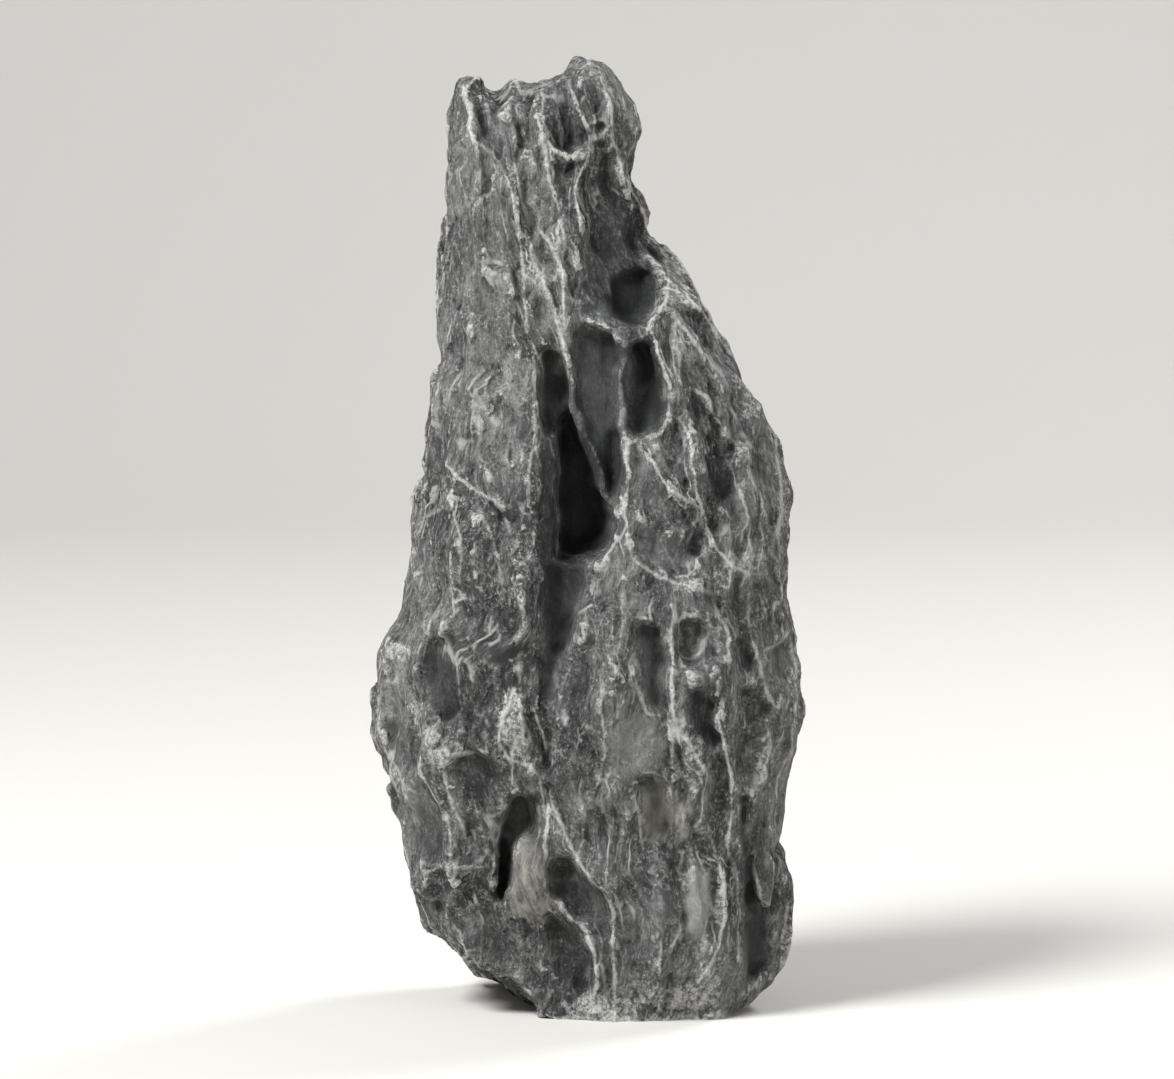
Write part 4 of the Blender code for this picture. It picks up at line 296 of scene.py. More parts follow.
# Crests of a side, as points across and up, then how far they stand out and how wide they are
CRESTS = {"front": (
    ("left rim", ((-31.5, 205), (-31, 192), (-31.4, 176)), 1, 1.8),
    ("panel left line", ((-30, 174), (-31.4, 168), (-31.8, 160)), 0.8, 1.6),
    ("crown lip", ((-24, 210), (-27, 206.6), (-26, 202), (-26, 198), (-24.6, 195), (-20.6, 192.8)), 1.5, 1.9),
    ("crown step", ((-16, 208.6), (-14.6, 205), (-11, 206), (-7, 208)), 1, 1.8),
    ("crown cup left", ((-10.6, 201), (-9.4, 197), (-9, 191), (-8, 187), (-6.6, 183)), 1.5, 1.8),
    ("crown cup lip", ((-9.4, 197), (-7.4, 193.8), (-4, 192.4), (-1.6, 192), (0.4, 194.2)), 1.3, 1.5),
    ("crown cup right", ((-4.4, 207.6), (-2.6, 204.6), (-0.6, 200.6), (1.4, 196)), 1.5, 1.7),
    ("crown arch", ((-8, 208), (-4, 211), (1, 211), (4, 208), (8, 203), (10.4, 197)), 0.7, 2),
    ("bay rim", ((2, 212), (4.4, 207), (6, 201), (6.2, 196), (7.6, 189.6), (9.4, 183.6), (12.6, 179),
     (14.4, 173), (17, 169.6), (19.6, 166)), 2.2, 2.2),
    ("outer flute", ((-19.4, 191), (-17, 184), (-14.8, 178), (-14, 170), (-13.6, 163), (-13, 152)), 1.7, 2),
    ("long flute", ((-16.4, 200), (-15.8, 192), (-15, 184), (-12.6, 178.6)), 1.1, 1.6),
    ("flute left", ((-15.5, 177), (-12, 173), (-11.2, 168), (-9, 163), (-7.2, 158.6)), 1.6, 1.6),
    ("flute middle", ((-10.4, 176), (-8, 172), (-5.8, 167), (-5, 161), (-4.6, 156)), 1.5, 1.5),
    ("flute inner", ((-8, 187), (-7, 182), (-6.4, 177), (-6.4, 171)), 1.4, 1.6),
    ("flute tip", ((-7.2, 159), (-6, 153), (-4.6, 147), (-4, 142)), 1.8, 2.2),
    ("bay post", ((0.4, 194.4), (-0.8, 190), (-2.2, 186), (-2.2, 181), (-1.2, 177), (0, 174)), 1.5, 1.6),
    ("bay line", ((0, 190), (3, 189), (6, 188)), 0.7, 1.3),
    ("bay wall", ((18.4, 166), (18, 160), (15.6, 158), (13.6, 155), (15.4, 151.6), (16.6, 147), (18.2, 141),
     (19, 136)), 1.5, 1.7),
    ("post line", ((19.4, 154), (21, 151), (20.8, 144), (19.8, 136.6)), 1.1, 1.6),
    ("bay lip", ((-1, 156), (2.6, 154.6), (6, 152.6), (9, 151.6), (12.4, 153)), 1.3, 1.6),
    ("slot lip", ((-3.8, 141), (-2.4, 136.6), (-0.4, 130.6), (1.2, 125.6), (2.8, 119.6), (5, 113.6)), 0.9,
     1.5),
    ("shoulder ridge", ((19, 168), (22.6, 162), (26, 156.4), (30, 150), (36.5, 141)), 1.8, 2.4),
    ("shoulder line", ((20, 157), (24, 150.6), (28, 146), (31.4, 141)), 1.3, 1.7),
    ("shoulder inner line", ((23.6, 141), (26.4, 139.4), (28, 135), (30.4, 131.6), (32.6, 128.4)), 1.3, 1.7),
    ("shield left edge", ((13.6, 131), (9.8, 130), (9, 127), (9.4, 120), (8.4, 115.6), (8.9, 109), (10, 105)),
     1.4, 1.6),
    ("shield top", ((13.4, 129.4), (14.6, 125.6), (17.6, 121), (21, 118.6), (25, 115)), 1.4, 1.7),
    ("shield edge", ((20.4, 134.6), (22.6, 130), (23.2, 125), (24.4, 119), (27, 110), (29, 105), (32, 102),
     (38, 100)), 1.9, 2),
    ("shield inner edge", ((24.4, 114), (26, 109), (26.2, 103.4)), 0.6, 1.4),
    ("shield foot", ((10, 105), (14, 102), (19, 98.8), (24, 97.6), (29, 96)), 1.2, 1.7),
    ("shield scratch", ((16, 109), (18, 105), (20, 101)), 0.7, 1.2),
    ("right bulge line", ((33.1, 119.3), (34.3, 115.8), (36, 112.3), (34.9, 110), (34, 106)), 1.4, 1.6),
    ("right bulge line, outer", ((35.6, 123), (38.2, 116.6), (40.6, 110.6)), 1.2, 1.5),
    ("right edge line, upper", ((40, 133), (42, 127), (43.2, 120), (43.4, 112), (43, 104)), 1.2, 1.6),
    ("middle line, upper", ((8, 98), (7.6, 93), (7.4, 88)), 0.9, 1.4),
    ("panel crease lip", ((-31.7, 128.6), (-31.5, 124.5), (-27.8, 121), (-22.6, 118), (-19.2, 116.4),
     (-17.3, 110.5)), 1.3, 1.7),
    ("panel line", ((-31.6, 121), (-29.8, 116), (-28.2, 110), (-27.8, 104), (-27.8, 98)), 1, 1.5),
    ("panel line, inner", ((-24.3, 116.6), (-22.6, 113), (-20.9, 108), (-18.6, 99)), 1.1, 1.5),
    ("panel line, left", ((-37.6, 111), (-35, 112.6), (-32.6, 114)), 0.9, 1.4),
    ("pocket left edge", ((-12, 151), (-11.9, 142), (-11.5, 134), (-12.3, 127), (-12.9, 118)), 1.1, 1.4),
    ("channel bank", ((-15.6, 110), (-16, 104), (-14.6, 98), (-13.4, 92), (-12.8, 86)), 1.5, 2),
    ("rough triangle", ((-15, 83), (-14.6, 77), (-17.6, 72), (-19.4, 66), (-19, 61)), 1.3, 1.9),
    ("triangle right side", ((-14.6, 78), (-14.2, 70), (-13.6, 62)), 1.2, 1.6),
    ("inner step lip", ((-19, 62), (-16.6, 59.6), (-13, 58.4), (-10.4, 56.4)), 1.2, 1.7),
    ("bulge top lip", ((-45.6, 80), (-42.4, 82.4), (-39, 82)), 1, 1.6),
    ("bulge loop", ((-45.4, 74), (-43, 73.6), (-42, 76), (-43.8, 80)), 0.9, 1.3),
    ("bulge right line", ((-38.6, 76), (-38.6, 71), (-36.6, 67.4)), 0.9, 1.5),
    ("left step lip", ((-36.4, 67), (-33.4, 65), (-31, 60.6), (-27, 61), (-24.4, 61.4)), 1.1, 1.8),
    ("left wedge", ((-31.4, 57), (-30.4, 50.6), (-28.6, 46.6), (-26.6, 41.6)), 1.3, 1.8),
    ("left wedge side", ((-30.6, 48), (-30.6, 41), (-30, 36)), 0.9, 1.4),
    ("low left line", ((-37, 32), (-32, 34.4), (-28, 35.2), (-23, 35)), 1, 1.7),
    ("left edge line", ((-46.4, 72), (-46.6, 64), (-44.4, 58), (-42.8, 50)), 1.3, 1.6),
    ("right edge line", ((45.4, 86), (46.4, 79), (46.6, 70), (46, 61), (44.6, 54)), 1.1, 1.6),
    ("tongue edge", ((-8.6, 51), (-9, 44), (-9.6, 36)), 1.7, 1.5),
    ("tongue left edge", ((-14.4, 40.4), (-16, 36.4), (-16.3, 31.6), (-15, 26), (-13.4, 23)), 0.9, 1.5),
    ("low crack lip", ((-7.4, 48), (-5, 44), (-4, 40), (-1, 34.6), (3.6, 29.6), (5.8, 26), (5.4, 18),
     (6.4, 10), (6, 3)), 1.3, 1.6),
    ("low crease lip", ((-9, 29), (-4.6, 25.6), (-0.4, 21), (1.6, 15), (2.4, 9), (1.4, 3)), 1.3, 1.6),
    ("middle line", ((3, 81), (2.8, 72), (3.4, 62), (3.4, 55)), 0.8, 1.5),
    ("plate edge", ((9.6, 82), (11.4, 76), (13, 70.4), (16.6, 69.4)), 1, 1.5),
    ("middle post", ((19.4, 96), (18.8, 86), (18.4, 76), (19.6, 66)), 1.5, 1.8),
    ("hole rim", ((16.8, 69), (18.4, 65), (18.8, 60.6)), 1.2, 1.5),
    ("hole rim, right", ((19.6, 66), (22, 64.6), (24, 60.6), (27, 56)), 1.3, 1.6),
    ("pit lip", ((12.6, 55), (10.8, 52), (11.4, 46), (11.8, 40)), 1.2, 1.5),
    ("ragged rib", ((28, 95), (31, 88), (31.4, 80)), 1.3, 1.9),
    ("right rib", ((29.4, 73), (29, 67.6), (30.6, 61), (32.4, 55), (32, 47), (31.6, 40), (32.6, 35)), 1.9, 2),
    ("low rib", ((26, 37.6), (29.4, 36), (30.8, 30), (30.6, 24), (29.6, 18), (27.6, 13), (25, 9)), 1.5, 1.9),
    ("gutter left bank", ((32.6, 35), (33.8, 28), (34.2, 20), (34.4, 12)), 0.9, 1.4),
    ("gutter bank", ((36.6, 34), (38.8, 29), (39.4, 23)), 1, 1.4),
    ("flange crest", ((36, 92), (37, 86), (38.4, 79), (40.6, 73), (42.2, 69.6)), 1.2, 1.8),
    ("flange lower crest", ((39.8, 66), (40.6, 61), (39, 56), (38.4, 52)), 1.1, 1.6),
    ("right ledge", ((39, 82.6), (43, 83.6), (46, 86)), 1.3, 1.8),
    ("flange tip", ((45.6, 25), (44.8, 19), (43, 14)), 1, 1.8),
), "back": (
    ("spine crest", ((10, 200), (13, 176), (11, 150), (16, 122), (13, 92), (17, 62), (14, 30)), 2.4, 3),
    ("gully bank", ((-9, 160), (-12, 130), (-8, 110), (-10, 84), (-7, 60)), 2, 2.6),
    ("shoulder edge", ((-34, 84), (-26, 78), (-16, 70), (-12, 58), (-15, 44)), 1.4, 3.2),
    ("scoop edge", ((32, 128), (24, 120), (17, 116)), 1.6, 2.4),
), "right": (
    ("flank crest", ((2, 176), (4, 150), (2, 122), (4, 96), (-1, 70), (1, 46)), 1.2, 2.8),
    ("rear crest", ((14, 130), (16, 102), (13, 80), (15, 52)), 1.6, 2.4),
), "left": (
    ("edge crest", ((-3, 196), (-4, 168), (-2, 140), (-4, 112), (-1, 92)), 1.8, 2.6),
    ("belly crest", ((3, 94), (5, 80), (2, 64), (4, 48)), 1.6, 2.6),
)}
FAINT = ("slot lip", "channel bank")  # worn soft, with no white on them

# How a crest falls away: a larger number makes it sharper
CREST_SHARE = 0.85
CREST_POWER = 1.15
STEEP_FLANK = 0.8  # a crest's reach to its steep side, as a share of its width
LONG_FLANK = 2.2  # and to its other side
CREST_ENDS = 0.2  # share of its length over which it rises at each end

# How the walls of a hollow curve: a smaller number stands them up more
GENTLE = 0.8
STEEP = 0.55
DEEP = 1.5  # a hollow this many times deeper than its half width has steep walls
RUN_OUT = 0.9  # added towards the lower end

# Lesser hollows of the sides, back and crown are scattered with a fixed seed: how many, least and most
# half width, how much taller than wide, depth as a share of the half width
SCATTER_SEED = 11
SCATTER = ((30, 6.0, 9.5, 2.0, 0.30), (120, 2.8, 4.6, 2.2, 0.38))
SCATTER_PAST = 0.15  # how far they turn past the flanks to the front, in radians
SCATTER_MARGIN = 4  # how far they keep from the foot and the crown
SCATTER_LEAN = 0.25
SCATTER_NEAR = 30  # how many points show which way the stone faces there
SCATTER_BEHIND = (0.15, 0.6)  # how far forward a place may face: hollows fade between these cosines
SCATTER_FACING = (0.2, 0.6)  # and between these from the direction they are cut in
SCATTER_REACH = 1.5  # how deep they may reach, as a share of the half width

# What the solid leaves out: finer wrinkles on the same beds, and finer breaks
FINE_FLUTES = (((3.6, 3.6, 13), 1.2), ((2.0, 2.0, 6), 0.45))
FINE_BREAKS = (((9, 9, 18), 0.05, 3.5), ((4.5, 4.5, 10), 0.05, 6.5))
FINE_CALMED = 0.9

# Parts of the front that stayed smooth: across, height, half width, half height, how smooth
SMOOTH = (
    (-13, 32.5, 4.6, 10.5, 1), (24.6, 27, 3.6, 9.5, 0.85), (10, 63, 7, 8.5, 0.6), (-36, 43, 4.5, 9, 0.6),
    (-3, 25, 3.5, 8, 0.5), (7.6, 142, 3, 13, 0.85), (-2.6, 136.6, 2.4, 6, 0.95), (-0.2, 130, 2.4, 6, 0.95),
    (2, 123, 2.4, 6, 0.95), (4.4, 116, 2.2, 4, 0.9), (12.5, 121, 2.6, 7, 0.6), (-19.5, 83.5, 6.4, 3.4, 0.85),
    (-13.6, 94, 1.8, 8, 0.6), (16.8, 26.4, 2.8, 4.4, 0.95), (40.6, 29.5, 2.4, 6, 0.6),
    (7.4, 152.6, 2.4, 2, 0.9),
)

# Patches of the front, laid out in the same way: rough and whitened; softly pale, partly painted light and
# partly paler stone; dark, mostly painted shade in hollows and under rims; and the three stains in its pits
PATCHES = {"chalk": (
    (-43, 81, 4.2, 2.8, 1.1), (-44.8, 76, 1.6, 4, 0.9), (-37.6, 68.4, 2.4, 3, 0.9),
    (-35, 64.4, 2.4, 2.8, 1.1), (-33, 60.2, 2.6, 3.2, 1.15), (-27.5, 61.4, 3, 1.1, 1),
    (-42.8, 54, 1.6, 2.8, 1.05), (-16.6, 68, 3.6, 9, 1.15), (-15.6, 81, 2, 3, 1), (-13.5, 60, 4.5, 2.5, 0.8),
    (-28, 44, 2.6, 8, 0.6), (-30, 34, 8, 1.8, 0.7), (-15.6, 142, 2.8, 6, 0.55), (-34, 141, 2, 2.5, 0.9),
    (43.6, 118, 1.8, 16, 0.8), (-15.5, 103, 2, 10, 0.8), (-5, 152, 1.8, 7, 1), (-13.4, 168, 1.3, 13, 0.75),
    (-8.4, 165, 1.2, 9, 0.75), (-1, 208, 7, 2.6, 0.6), (46, 74, 2, 13, 0.8), (20, 162, 4, 8, 0.8),
    (26, 98.6, 8, 3.2, 0.95), (35, 102.6, 6, 3.6, 0.95), (37, 137, 3.6, 5, 0.8), (29.6, 89, 2.4, 7, 0.8),
    (39, 59, 2.2, 6, 0.8), (22.5, 62, 2.6, 5.5, 0.9), (12, 62, 7, 8, 0.45), (27, 12, 3.5, 9, 0.8),
    (29.8, 30, 1.8, 9, 0.9), (45.4, 14, 2.2, 8, 1), (3, 3.4, 10, 3.4, 1.1), (21, 5, 10, 4, 1.1),
    (3, 155, 6, 1.6, 0.7), (18, 166, 2.4, 5, 0.8), (23, 58, 3, 7, 0.8), (-24, 196, 4, 4, 0.6),
    (-38, 110, 2.5, 5, 0.6),
# Pale patches: partly painted light on faces turned to the light, partly paler stone
), "pale": (
    (-5.6, 151, 1.7, 9, 0.9), (-22, 166, 6, 24, 0.35), (-24, 136, 7, 12, 0.25), (-15.8, 143, 3.2, 7, 0.9),
    (-17.8, 129, 2, 7, 0.6), (36, 112, 8, 18, 0.3), (38, 60, 8, 32, 0.2), (-10.5, 184, 3, 12, 0.5),
    (-8.5, 168, 4.5, 18, 0.5), (-27, 196, 4, 9, 0.3), (20, 160, 3, 9, 0.5), (19, 146, 2, 11, 0.4),
    (15.6, 127, 2, 4, 0.6), (8.4, 98, 5, 10, 0.3), (10.4, 63, 7, 8.5, 0.55), (4, 72, 3, 11, 0.35),
    (-43, 70, 3, 12, 0.35), (-28.8, 46, 2, 8, 0.6), (-38.6, 48, 2, 6, 0.35), (24.6, 27, 3.2, 9.5, 0.9),
    (44, 76, 3, 8, 0.3), (-42, 34, 3, 10, 0.35),
# Dark patches: painted shade in hollows, beside the slot and under rims, with some darker stone
), "dark": (
    (-8.8, 117, 2.4, 16, 0.55), (9.8, 160, 6, 6.5, 0.55), (-19, 84.5, 6, 3.6, 0.55),
    (11.6, 172, 2.6, 11, 0.6), (5.4, 142, 2, 12, 0.6), (15.2, 142, 2.4, 12, 1), (4.8, 122.6, 3.4, 7, 1),
    (-35, 80, 2.4, 5.5, 0.75), (-32.4, 73, 2.8, 5.5, 0.75), (38.2, 28, 2.6, 19, 0.9), (-13, 19, 4, 4, 0.6),
    (-12.2, 46.5, 3.8, 6.5, 0.9), (28.4, 31, 1.4, 5, 0.7), (-29, 75, 11, 14, 0.55), (-1, 66, 7, 14, 0.3),
    (-2.8, 137, 1.9, 7, 0.8), (-0.2, 129.5, 1.9, 6, 0.9), (2.4, 121.5, 1.9, 7, 0.85),
    (40.6, 29, 2.4, 6.5, 0.65), (7.4, 152.6, 2.2, 1.8, 0.4), (-10.4, 31, 2.4, 9, 0.3), (-21, 50, 5, 9, 0.5),
    (-36, 41, 3.4, 7, 0.4), (12.4, 170, 2.4, 7, 0.5), (26, 138, 3.4, 6, 0.35), (31, 123, 3.4, 7, 0.4),
    (24, 68, 3.4, 9, 0.45), (-3, 24, 3.6, 7, 0.5), (-18, 18, 7, 5, 0.5), (-4, 8, 3, 7, 0.4),
    (8.6, 27, 2.4, 7, 0.35), (18.6, 22, 3, 12, 0.2), (39, 22, 3, 9, 0.4),
), "khaki": (
    (-12.6, 31, 5, 10.5, 1), (-9.5, 27, 3.5, 5, 0.6), (-14.5, 45, 5.5, 6, 0.25),
), "olive": (
    (15.6, 47.5, 4, 7.5, 1),
), "cream": (
    (20.8, 46.5, 2.6, 5.5, 0.8),
)}
PATCH_EDGE = (1.25, 0.35)  # a patch fades between these, counted as an oval is

# How a white line shows on a crest: the height that shows fully, how fast lower ones fade, the share left
# at its ends and how long those are, and the distances from the crest between which it stops
SHOWN_HEIGHT, SHOWN_POWER, SHOWN_ENDS, END_LENGTH, LINE_STOP = 1.6, 1.3, 0.3, 0.15, (2.2, 1.4)
FARTHEST = 9.0

# How many times the surface is smoothed before each look at what stands out of it, and how much of each
# point's own place is kept each time
SMOOTHINGS = (2, 16, 140)
KEPT_PLACE = 0.3
INSET = 0.01  # how far inside the solid's box the tips stay


def smooth_step(low, high, value):
    """0 below low, 1 above high, and an even curve between them."""
    t = np.clip((value - low) / (high - low), 0, 1)
    return t * t * (3 - 2 * t)


def along(profile, place):
    """Reads a profile, a list of (place, value), at each place."""
    places, values = zip(*profile)
    return np.interp(place, places, values)


def field(points, size, octaves, seed):
    """Fractal noise, about -1 to 1, whose broadest waves are this many millimetres long."""
    shift = Vector((seed, seed * 1.7, -seed * 0.6))
    return np.array([noise.fractal(Vector(p) / size + shift, 1.0, 2.1, octaves) for p in points])


def waves(points, size, octaves, seeds, reach):
    """How far uneven waves move each point, in one direction for each seed."""
    return np.column_stack([field(points, size, octaves, seed) for seed in seeds]) * reach


def uneven(points, size, octaves, seed, least, low, high):
    """A share of the whole that comes and goes over the stone."""
    return least + (1 - least) * smooth_step(low, high, field(points, size, octaves, seed))


def tapered(share, ends):
    """1 along a line, and down to nothing over this share of it at each end."""
    return smooth_step(0, ends, share) * smooth_step(0, ends, 1 - share)


def nearest_centre(points, size, part):
    """What lies nearest to each point of many scattered centres, about this far apart: the distance in
    cells (part 0) or the centre's place in cells (part 1)."""
    scale = Vector([1 / length for length in size])
    return np.array([noise.voronoi(Vector(p) * scale)[part][0] for p in points])


def oval(across, up, x, z, half_width, half_height):
    """0 in the middle of an upright oval and 1 on its rim, growing as the square of the distance."""
    return ((across - x) / half_width) ** 2 + ((up - z) / half_height) ** 2


def get_points(mesh):
    points = np.empty(len(mesh.vertices) * 3, np.float32)
    mesh.vertices.foreach_get("co", points)
    return points.reshape(-1, 3).astype(float) / MM


def set_points(mesh, points):
    mesh.vertices.foreach_set("co", (points * MM).astype(np.float32).ravel())
    mesh.update()


def get_normals(mesh):
    normals = np.empty(len(mesh.vertices) * 3, np.float32)
    mesh.vertex_normals.foreach_get("vector", normals)
    return normals.reshape(-1, 3).astype(float)


def apply_modifiers(obj):
    """Keeps what the object's modifiers make of it as its own mesh."""
    graph = bpy.context.evaluated_depsgraph_get()
    made = bpy.data.meshes.new_from_object(obj.evaluated_get(graph))
    old, obj.data = obj.data, made
    obj.modifiers.clear()
    bpy.data.meshes.remove(old)
    bpy.context.view_layer.update()


def regrain(obj, grain):
    """Makes the working mesh's faces even again, as they stretch where a hollow is cut."""
    remesh = obj.modifiers.new("grain", "REMESH")
    remesh.mode = "VOXEL"
    remesh.voxel_size = grain
    apply_modifiers(obj)


def work(obj, shape, *more, share=None):
    """Moves the mesh's points to where a function puts them, or each by its share of the way."""
    points = get_points(obj.data)
    moved = shape(points, get_normals(obj.data), *more)
    set_points(obj.data, moved if share is None else points + (moved - points) * share[:, None])


def foot_level(x, y):
    """Height of the underside: the front left corner and the right edge hang clear of the ground."""
    left = LEFT_LIFT * (LEFT_START - x - LEFT_SKEW * (y - SKEW_START))
    right = RIGHT_LIFT * (x - RIGHT_START)
    return np.clip(np.maximum(left, right), -FOOT_SINK, MOST_LIFT)


def crown_level(x, y):
    depth = np.abs(y - CROWN_MIDDLE) / CROWN_REACH
    return along(CROWN, x) - CROWN_FALL * np.clip(depth, 0, CROWN_END) ** 2


def rough_block():
    """A cube cut into a grid, then drawn out to the outlines seen from the front and the side."""
    bpy.ops.mesh.primitive_cube_add(size=2)
    obj = bpy.context.object
    obj.name = obj.data.name = STONE
    regrain(obj, 2 / BLOCK_CELLS)
    cube = get_points(obj.data) * MM
    cube = np.clip(cube / np.abs(cube).max(), -1, 1)
    reach = np.maximum(np.abs(cube[:, 0]), np.abs(cube[:, 1]))
    angle = np.arctan2(cube[:, 1], cube[:, 0])
    cos, sin = np.cos(angle), np.sin(angle)
    plan = (np.abs(cos) ** SQUARENESS + np.abs(sin) ** SQUARENESS) ** (-1 / SQUARENESS)
    u, v, up = reach * plan * cos, reach * plan * sin, (cube[:, 2] + 1) / 2
    z = up * HEIGHT
    for _ in range(4):  # the underside and the crown depend on the place, and the place on the height
        left, right = along(LEFT_EDGE, z), along(RIGHT_EDGE, z)
        front, back = along(FRONT_FACE, z), along(BACK_FACE, z)
        x = (left + right) / 2 + u * (right - left) / 2
        y = (front + back) / 2 + v * (back - front) / 2
        low, high = foot_level(x, y), crown_level(x, y)
        z = low + up * (high - low)
    set_points(obj.data, np.column_stack((x, y, z)))
    regrain(obj, ROUGH_GRAIN * MM)
    return obj


def bend_and_split(points, _):
    """Bends the block a little, so that no face stays ruled, and takes it back to each flat face."""
    points = points + waves(points, *BLOCK_WAVES)
    for _, place, direction, share in FACETS:
        normal = np.array(direction) / np.linalg.norm(direction)
        proud = (points - np.array(place)) @ normal
        points = points - np.outer(np.clip(proud, 0, None) * share, normal)
    return points


def seen_from(side, points, normals):
    """Place across a side and up it, both bent a little, as no line in a stone stays drawn, and how far
    each point faces the side, from 0 to 1."""
    across, up, inward = (np.array(direction, float) for direction in SIDES[side])
    flat = np.outer(points @ across, across) + np.outer(points @ up, up)
    sway, lift = waves(flat, *LINE_WAVES).T
    return points @ across + sway, points @ up + lift, smooth_step(*FACING, -(normals @ inward))


def raise_sides(points, normals, sides, rise_at):
    """Raises each side out by what a function of the place on it gives."""
    moved = points.copy()
    for side in sides:
        across, up, facing = seen_from(side, points, normals)
        moved -= np.outer(rise_at(across, up, side) * facing, SIDES[side][2])
    return moved


def swell(points, normals):
    """Pushes the broad swellings out, each towards its own side."""
    def rise_at(across, up, side):
        return sum(rise * np.exp(-SWELLING_FALL * oval(across, up, *place))
                   for _, *place, rise in SWELLINGS[side])
    return raise_sides(points, normals, SWELLINGS, rise_at)


def hollow_depth(across, up, x, z, half_width, reach_up, reach_down, depth, lean):
    """Depth of one hollow: a sharp rim above, steep walls where it is deep and narrow, and a lower end
    that runs out slowly, as water leaves it."""
    tilt = np.radians(lean)
    dx, dz = across - x, up - z
    sideways = dx * np.cos(tilt) - dz * np.sin(tilt)
    upward = dx * np.sin(tilt) + dz * np.cos(tilt)
    reach = np.where(upward > 0, reach_up, reach_down)
    r2 = (sideways / half_width) ** 2 + (upward / reach) ** 2
    steepness = STEEP if depth > DEEP * half_width else GENTLE
    steepness += RUN_OUT * np.clip(-upward / reach_down, 0, 1)
    return depth * np.clip(1 - r2, 0, 1) ** steepness


def distance_to_line(across, up, line):
    """Distance from each place to a line through these points, how far along the line that is, and on
    which side of it the place lies."""
    best = np.full(len(across), np.inf)
    share, side = np.zeros(len(across)), np.ones(len(across))
    for i, ((ax, az), (bx, bz)) in enumerate(zip(line, line[1:])):
        dx, dz = bx - ax, bz - az
        t = np.clip(((across - ax) * dx + (up - az) * dz) / (dx * dx + dz * dz), 0, 1)
        d = np.hypot(across - ax - t * dx, up - az - t * dz)
        nearer = d < best
        best = np.where(nearer, d, best)
        share = np.where(nearer, (i + t) / (len(line) - 1), share)
        side = np.where(nearer, np.where((across - ax) * dz > (up - az) * dx, 1, -1), side)
    return best, share, side


def inside_distance(across, up, outline):
    """Distance in from a closed outline, less than zero outside it."""
    ring = outline + outline[:1]
    distance = distance_to_line(across, up, ring)[0]
    inside = np.zeros(len(across), bool)
    for (ax, az), (bx, bz) in zip(ring, ring[1:]):
        if az != bz:
            inside ^= ((az > up) != (bz > up)) & (across < ax + (up - az) * (bx - ax) / (bz - az))
    return np.where(inside, distance, -distance)


def scoop_depth(across, up, scoop):
    """Depth of one scoop: a sharp rim, walls that curve down to the floor, and a deeper side."""
    outline, depth, wall, (rightward, upward) = scoop[1:5]
    corners = np.array(outline)
    middle = (corners.max(axis=0) + corners.min(axis=0)) / 2
    reach = (corners.max(axis=0) - corners.min(axis=0)) / 2
    slope = 1 + rightward * (across - middle[0]) / reach[0] + upward * (up - middle[1]) / reach[1]
    inside = np.clip(inside_distance(across, up, outline) / wall, 0, 1)
    return depth * slope * (1 - (1 - inside) ** 2)


def water_worn(points, normals, column):
    """How far each point lies inside the scoops of the front, each by its own strength."""
    across, up, _ = seen_from("front", points, normals)
    most = np.zeros(len(points))
    for scoop in SCOOPS:
        if scoop[column]:
            share = scoop_depth(across, up, scoop) / scoop[2]
            most = np.maximum(most, scoop[column] * smooth_step(*SCOOP_FLOOR, share))
    return most * smooth_step(-0.5, 0, -normals[:, 1])  # none on the back


def hollow_out(points, normals):
    """Cuts each side by the deepest hollow at each place, which leaves a crest where two hollows meet."""
    def rise_at(across, up, side):
        cuts = [hollow_depth(across, up, *hollow) for hollow in HOLLOWS[side]]
        cuts += [scoop_depth(across, up, scoop) for scoop in SCOOPS if side == "front"]
        return -np.max(cuts, axis=0)
    return raise_sides(points, normals, HOLLOWS, rise_at)


def raise_crests(points, normals):
    """Raises each crest along its line, unevenly, down to nothing at its ends, and steeper on one side,
    turn about."""
    most = CREST_SHARE * uneven(points, *UNEVEN_CRESTS)

    def rise_at(across, up, side):
        rise = np.zeros(len(points))
        for k, (_, line, height, width) in enumerate(CRESTS[side]):
            distance, share, side_of_line = distance_to_line(across, up, line)
            reach = width * np.where(side_of_line == (-1) ** k, LONG_FLANK, STEEP_FLANK)
            ridge = np.clip(1 - distance / reach, 0, 1) ** CREST_POWER
            rise = np.maximum(rise, height * most * tapered(share, CREST_ENDS) * ridge)
        return rise
    return raise_sides(points, normals, CRESTS, rise_at)


